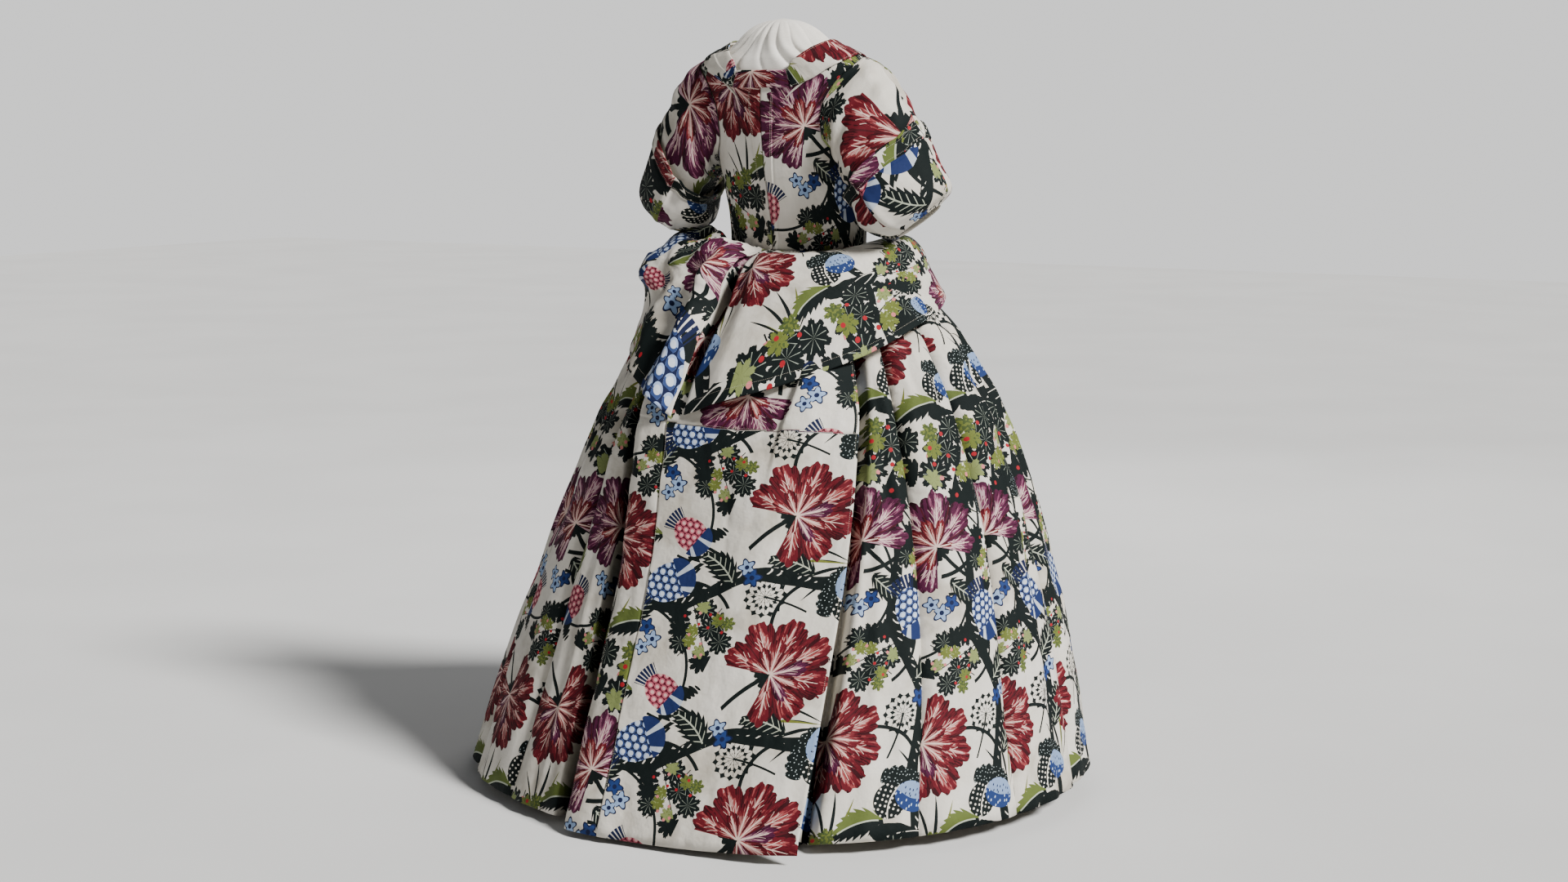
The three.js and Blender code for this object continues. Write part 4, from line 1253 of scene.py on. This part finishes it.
    def grasses(self, colour):
        """Tufts of narrow blades that lean apart."""
        _, rho, x, y, _ = self.nearest(GRASSES)
        theta = self.math("ARCTAN2", x, y + 0.75)
        blades = abs((theta * 9 + rho * 0.9).sine()) < 0.62 - rho * 0.50
        tuft = blades * (abs(theta) < 0.86) * (rho < 1.2)
        green = self.ramp((theta * 2.1 + 4).fraction(), [(0, INK), (0.45, (0.150, 0.165, 0.03)), (0.7, INK)])
        return self.over(colour, tuft, green)

    def petals(self, colour, local, theta, rho, kind, pitch, long, seed):
        """A fan of ruffled petals, feathered from pale to deep; pitch is the angle between petals."""
        turn = theta * (1 / pitch) + seed * 0.5
        index = turn.rounded()
        across = turn - index
        drawn = {"Vector": self.join(index, kind, seed)}
        chance = Value(self, self.node("TexWhiteNoise", {"noise_dimensions": "3D"}, drawn).outputs[0])
        ruffle = abs((theta * 17 + seed).sine()) * 0.075 + self.noise(local, 4.2, 2) * 0.30 - 0.15
        reach = long - index * index * 0.022 + chance * 0.14 - across * across * 0.95 + ruffle
        petal = (rho < reach) * (abs(theta) < 2.45)
        streaks = self.noise(self.join(theta * 8, rho * 1.1 + seed * 3, kind), 1.6, 3, 0.62)
        tone = rho / reach * 0.50 + (streaks - 0.5) * 1.9 + abs(across) * 0.62 - 0.06
        shown = self.blend((chance + kind * 0.40) > 0.70, self.ramp(tone, CRIMSONS), self.ramp(tone, PLUMS))
        width = abs(across) * rho * pitch
        vein = (width < 0.017 - rho * 0.010) * (rho < reach * 0.84)
        side_veins = (abs((rho * 5.0 - abs(across) * 6).fraction() - 0.5) < 0.06) * (rho < reach * 0.72)
        veins = vein.most(side_veins * (abs(across) < 0.33) * (rho > 0.2))
        part = ((0.5 - abs(across)) * rho * pitch < 0.013) * (rho > 0.16)
        colour = self.over(colour, petal, shown)
        colour = self.over(colour, petal * veins, (0.70, 0.52, 0.45))
        return self.over(colour, petal * part, (0.055, 0.004, 0.008))

    def flowers(self, colour):
        """Open flowers of two rows of petals on a toothed calyx."""
        local, _, x, y, kind = self.nearest(FLOWERS)
        y = y + 0.30
        theta = self.math("ARCTAN2", x, y)
        rho = self.round(x, y)
        stem = (abs(x - y * y * 0.16) < 0.048) * (y < 0) * (y > -1.15)
        calyx = (rho < abs((theta * 4.5).sine()) * 0.20 + 0.15) * (abs(theta) > 1.9)
        sepal_x = abs(x) - 0.34
        sepals = self.round(sepal_x * 0.8 - y * 0.25, y + 0.12) < 0.15 + abs((x * 17).sine()) * 0.07
        colour = self.over(colour, stem.most(calyx).most(sepals), INK)
        colour = self.petals(colour, local, theta, rho, kind, 0.72, 1.16, 0)
        return self.petals(colour, local, theta, rho, kind, 0.60, 0.66, 1)

    def fruits(self, colour):
        """Fruit covered in scales, with a striped cup below and a tuft above."""
        _, rho, x, y, kind = self.nearest(FRUITS)
        theta = self.math("ARCTAN2", x, y)
        body = (self.round(x / 0.58, (y - 0.02) / 0.76) < 1) * (y > -0.40)
        row = (y * 4.4).floor()
        cell = (x * 3.9 + row * 0.5).fraction() - 0.5
        rise = (y * 4.4).fraction()
        away = self.round(cell, (rise - 0.42) * 0.78)
        crescent = self.round(cell, (rise - 0.62) * 0.78)
        tone = self.ramp(away, [(0, (0.56, 0.62, 0.72)), (0.28, (0.33, 0.43, 0.66)), (0.43, NAVY)])
        tone = self.blend((crescent > 0.34) * (away < 0.43) * (rise < 0.5), tone, (0.030, 0.055, 0.165))
        pink = self.ramp(away, [
            (0, (0.66, 0.36, 0.34)), (0.24, (0.42, 0.09, 0.13)), (0.44, (0.075, 0.003, 0.012)),
        ])
        scales = self.blend(kind > 0.5, tone, pink)
        lower = y + 0.25
        cup = (self.round(x / 0.64, lower / 0.60) < 1) * (y < -0.28)
        striping = (self.math("ARCTAN2", x, lower - 0.55) * 9).sine()
        stripes = self.ramp(striping, [(0, (0.009, 0.021, 0.090)), (0.72, (0.46, 0.51, 0.58))])
        tuft = (abs((theta * 24).sine()) > 0.45) * (rho < 1.18) * (abs(theta) < 0.44) * (y > 0.6)
        side = abs(x) - 0.42
        leaf_edge = abs((x * 21).sine()) * 0.09 + 0.22
        leaf = (self.round(side * 0.5, y + 0.60 + side * 0.5) < leaf_edge) * (abs(x) < 1.05)
        stem = (abs(x + y * 0.2 + 0.1) < 0.06) * (y < -0.6) * (y > -1.6)
        colour = self.over(colour, leaf.most(stem), INK)
        colour = self.over(colour, tuft, NAVY)
        return self.over(self.over(colour, body, scales), cup, stripes)

    def spotted(self, colour):
        """A pair of round fruit, one dark with pale spots and one blue with short dashes, on a dark leaf."""
        local, _, x, y, _ = self.nearest(SPOTTED)
        dark_x, dark_y = x + 0.34, y + 0.24
        dark = self.round(dark_x, dark_y) < 0.54
        spots = self.cells(local, 6.4, 0.30)[0] < 0.22
        rib = abs(dark_x - dark_y * dark_y * 0.5) < 0.022
        leaf = self.round(x * 0.80 + 0.06, y * 1.5 - 0.62) < 0.60 + abs((x * 13).sine()) * 0.10
        blue = self.round((x - 0.34) / 1.12, (y - 0.08) / 0.84) < 0.54
        upper = y - 0.08 + (x * 5).sine() * 0.05 > 0
        tone = self.blend(upper, (0.012, 0.032, 0.125), (0.20, 0.29, 0.47))
        dashes = self.cells(self.vector("MULTIPLY", local, (1, 0.55, 1)), 7.5, 0.7)[0] < 0.17
        marked = self.blend(dashes, tone, self.blend(upper, (0.42, 0.52, 0.68), NAVY))
        speck = self.cells(local, 8, 0.8)[0] < 0.13
        colour = self.over(colour, leaf, self.blend(speck, INK, (0.36, 0.42, 0.42)))
        colour = self.over(colour, dark, self.blend(spots.most(rib), INK, CREAM))
        return self.over(colour, blue, marked)

    def stars(self, colour):
        _, rho, x, y, kind = self.nearest(STARS)
        theta = self.math("ARCTAN2", x, y)
        reach = (theta * 5).sine() * 0.22 + 0.78
        tone = self.blend(kind > 0.5, (0.25, 0.36, 0.56), (0.013, 0.036, 0.145))
        colour = self.over(colour, rho < reach + 0.12, NAVY)
        colour = self.over(colour, rho < reach - 0.08, tone)
        return self.over(colour, rho < 0.26, NAVY)

    def build(self):
        u, v, _ = self.split(self.cloth)
        # the ivory ground is a little darker and lighter in soft patches that fall at random
        mottle = self.noise(self.cloth, 6.5, 4, 0.62)
        ground = self.ramp(mottle, [
            (0.34, (0.47, 0.43, 0.36)), (0.5, IVORY), (0.66, (0.72, 0.685, 0.625)),
        ], "EASE")
        streak = self.noise(self.vector("MULTIPLY", self.cloth, (260, 9, 1)), 1, 2)
        colour = self.blend(streak * 0.20, ground, (0.48, 0.44, 0.37))
        colour = self.trunk(colour, u, v)
        behind = (self.twigs, self.grasses, self.crowns, self.leaves, self.umbels, self.spotted)
        for motif in (*behind, self.flowers, self.fruits, self.stars):
            colour = motif(colour)
        thread = self.noise(self.vector("MULTIPLY", self.cloth, (1500, 420, 1)), 1, 1)
        colour = self.blend(thread * 0.12, colour, (0.02, 0.018, 0.015))
        crumple = self.noise(self.cloth, 26, 3, 0.55)
        height = crumple + thread * 0.10
        paleness = self.vector("DOT_PRODUCT", colour, (0.40, 0.40, 0.40))
        return self.wear(colour, 0.72 + crumple * 0.10 - paleness * 0.40, self.bump(height, 0.76, 0.0056))


def woven(name, colours, weave, roughness, sheen, crease, flat=True):
    """A plain woven cloth: colours of its shadows and highlights, and its weave in radians each metre."""
    cloth = Finish(name, sheen=sheen, specular=0.3)
    place = cloth.on_cloth() if flat else cloth.on_object()
    x, y, z = cloth.split(place)
    warp = (x * weave).sine() * (y * weave).sine() if flat else ((x + y) * weave).sine() * (z * weave).sine()
    slub = cloth.noise(cloth.vector("MULTIPLY", place, (1, 1, 6)), 140, 2)
    soft = cloth.noise(place, 14, 3)
    colour = cloth.ramp(soft * 0.7 + slub * 0.3, [(0.3, colours[0]), (0.7, colours[1])], "EASE")
    height = warp * 0.18 + slub * 0.35 + cloth.noise(place, 30, 2) * crease
    return cloth.wear(colour, roughness + slub * 0.1, cloth.bump(height, 0.35, 0.0022))


def silk_thread(name):
    """Waxed silk sewing thread, with painted shade: a little darker where its twist lies lower."""
    silk_line = Finish(name, specular=0.3)
    twist = silk_line.noise(silk_line.on_object(), 900, 2)
    # painted shade: the thread is darker where the twist's bump lies low
    colour = silk_line.ramp(twist, [(0.35, (0.42, 0.38, 0.30)), (0.65, (0.66, 0.61, 0.51))], "EASE")
    return silk_line.wear(colour, twist * 0.2 + 0.45, silk_line.bump(twist, 0.3, 0.0004))


def painted_steel(name):
    """Black paint on steel, a little cloudy and scuffed grey in streaks."""
    steel = Finish(name, metallic=0.35)
    place = steel.on_object()
    grain, cloudy = steel.noise(place, 900, 2), steel.noise(place, 9, 4)
    scuffs = steel.noise(steel.vector("MULTIPLY", place, (1, 1, 12)), 60, 3) > 0.68
    colour = steel.ramp(cloudy, [(0.3, (0.014, 0.014, 0.016)), (0.7, (0.032, 0.032, 0.035))], "EASE")
    colour = steel.blend(scuffs * 0.35, colour, (0.09, 0.088, 0.085))
    return steel.wear(colour, 0.34 + cloudy * 0.16 + scuffs * 0.15, steel.bump(grain, 0.12, 0.0006))


silk = Brocade().build()
lining = woven("linen_lining", ((0.47, 0.43, 0.36), (0.60, 0.56, 0.48)), 2600, 0.82, 0.15, 0.5)
tape = woven("linen_tape", ((0.55, 0.50, 0.42), (0.68, 0.63, 0.54)), 2600, 0.80, 0.15, 0.2)
cotton = woven("gathered_cotton", ((0.74, 0.70, 0.63), (0.90, 0.87, 0.81)), 3200, 0.85, 0.2, 0.6, flat=False)
steel = painted_steel("painted_steel")
thread = silk_thread("silk_thread")

# ---- the pieces -----------------------------------------------------------------------------------
both_sides = (silk, lining)
cover_mesh = form_cover_mesh()
cover_mesh.materials.append(cotton)
cover = piece("form_cover", cover_mesh, ["form_body"])

for name in ("form_pole", "form_foot"):
    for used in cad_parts[name].material_slots:
        used.material = steel

band = piece("waistband_tape", waistband_mesh((tape, lining)), ["petticoat_waistband"])

# how the left pieces' pattern is moved from the right ones': across and up
LEFT_SHIFTS = {
    "bodice_back": (0.150, 0.330), "bodice_front": (0.06, 0.21), "robing": (0.12, 0.30),
    "sleeve": (0.21, 0.26), "cuff": (0.16, 0.41),
}
RIGHT_PANELS = {
    "bodice_back": bodice_mesh("bodice_back_right", back_patch, back_lift, both_sides),
    "bodice_front": bodice_mesh("bodice_front_right", front_patch, front_lift, both_sides),
    "robing": robing_mesh(both_sides), "sleeve": sleeve_mesh(both_sides), "cuff": cuff_mesh(both_sides),
}
right_wing = on_wing(WING_RIGHT_EDGE, RIGHT_PUFFS, -4, 120, right_wing_detail)
left_wing = on_wing(WING_LEFT_EDGE, LEFT_PUFFS, -120, -7, left_wing_detail)
STITCHED = {
    "bodice_back": back_stitches(), "robing": robing_stitches(), "cuff": cuff_stitches(),
    "train_breadth": train_stitches(), "train_wing_right": wing_stitches(right_wing),
    "train_wing_left": wing_stitches(left_wing),
}
stitching = stitch_tree()


def sewn(name, mesh, side=""):
    """A silk piece, standing for its node, with its rows of stitches where it has them."""
    node = f"{name}_{side}" if side else name
    made = piece(f"{node}_silk", mesh, [node])
    rows = []
    if name in STITCHED:
        flip = -1 if side == "left" else 1
        rows = [piece(f"{node}_stitches", stitches_mesh(node, STITCHED[name], stitching, thread, flip), [])]


for name, mesh in RIGHT_PANELS.items():
    sewn(name, mesh, "right")
    sewn(name, mirrored(mesh, f"{name}_left", LEFT_SHIFTS[name]), "left")
for name, (first, last, width, area) in PETTICOAT_PANELS.items():
    sewn(name, petticoat_mesh(name, first, last, both_sides))
sewn("stomacher", stomacher_mesh(both_sides))
sewn("neck_band", neck_band_mesh(both_sides))
sewn("train_breadth", breadth_mesh(both_sides))
sewn("train_wing_right", wing_mesh("train_wing_right", right_wing, -30, 0.62, both_sides))
sewn("train_wing_left", wing_mesh("train_wing_left", left_wing, 35, 0.62, both_sides))

# ---- camera, light and floor ----------------------------------------------------------------------
EYE_AWAY, EYE_HEIGHT = 4.5, 1.25        # metres from the body's axis, and above the floor
EYE_ROUND = math.radians(30)            # from straight behind towards the wearer's right
LENS_MM, SENSOR_MM = 54.43, 36
LENS_PIXELS = 2903                      # the same lens in pixels of a frame 1920 wide
AXIS_RIGHT, HORIZON_ABOVE = 18.5, 405   # pixels from the frame's middle to the body's axis and to eye height
level = Vector((math.sin(EYE_ROUND), -math.cos(EYE_ROUND), 0))
sideways = Vector((-math.cos(EYE_ROUND), -math.sin(EYE_ROUND), 0))
yaw, tilt = math.atan(AXIS_RIGHT / LENS_PIXELS), math.atan(HORIZON_ABOVE / LENS_PIXELS)
ahead = level * math.cos(yaw) - sideways * math.sin(yaw)
aim = ahead * math.cos(tilt) + Vector((0, 0, -1)) * math.sin(tilt)
lens = bpy.data.cameras.new("camera")
lens.lens, lens.sensor_width = LENS_MM, SENSOR_MM
camera = placed("camera", lens)
camera.location = Vector((0, 0, EYE_HEIGHT)) - level * EYE_AWAY
camera.rotation_euler = aim.to_track_quat("-Z", "Y").to_euler()
bpy.context.scene.camera = camera


def softbox(name, place, size, watts, colour):
    lamp = bpy.data.lights.new(name, "AREA")
    lamp.shape, lamp.size, lamp.energy, lamp.color = "DISK", size, watts, colour
    lit = placed(name, lamp)
    lit.location = place
    lit.rotation_euler = (Vector((0, 0, 0.8)) - Vector(place)).to_track_quat("-Z", "Y").to_euler()


daylight = bpy.data.lights.new("key", "SUN")
daylight.energy, daylight.angle, daylight.color = 7.2, math.radians(13), (1.0, 0.985, 0.96)
key = placed("key", daylight)
key.rotation_euler = Vector((1.26, -0.16, -1.05)).to_track_quat("-Z", "Y").to_euler()
softbox("fill", (1.6, 3.9, 1.9), 2.4, 5, (0.94, 0.97, 1.0))
softbox("front", (0.8, -3.6, 2.6), 2.4, 40, (1.0, 0.99, 0.97))
world = bpy.data.worlds.new("studio")
world.use_nodes = True
sky = world.node_tree
glow, seen = sky.nodes["Background"], sky.nodes.new("ShaderNodeBackground")
glow.inputs["Color"].default_value, glow.inputs["Strength"].default_value = (0.84, 0.86, 0.88, 1), 0.17
seen.inputs["Color"].default_value, seen.inputs["Strength"].default_value = (0.83, 0.83, 0.825, 1), 1.25
either, rays = sky.nodes.new("ShaderNodeMixShader"), sky.nodes.new("ShaderNodeLightPath")
sky.links.new(rays.outputs["Is Camera Ray"], either.inputs[0])
sky.links.new(glow.outputs[0], either.inputs[1])
sky.links.new(seen.outputs[0], either.inputs[2])
sky.links.new(either.outputs[0], sky.nodes["World Output"].inputs[0])
bpy.context.scene.world = world

floor_mesh = bpy.data.meshes.new("floor")
floor_mesh.from_pydata([(-14, -14, 0), (14, -14, 0), (14, 14, 0), (-14, 14, 0)], [], [(0, 1, 2, 3)])
floor = placed("floor", floor_mesh)
ground = Finish("pale_floor", specular=0.2)
cloudy = ground.noise(ground.on_object(), 1.4, 3)
tone = ground.ramp(cloudy, [(0.3, (0.64, 0.64, 0.635)), (0.7, (0.67, 0.67, 0.665))], "EASE")
floor_mesh.materials.append(ground.wear(tone, 0.7 + cloudy * 0.1, ground.bump(cloudy, 0.02, 0.001)))
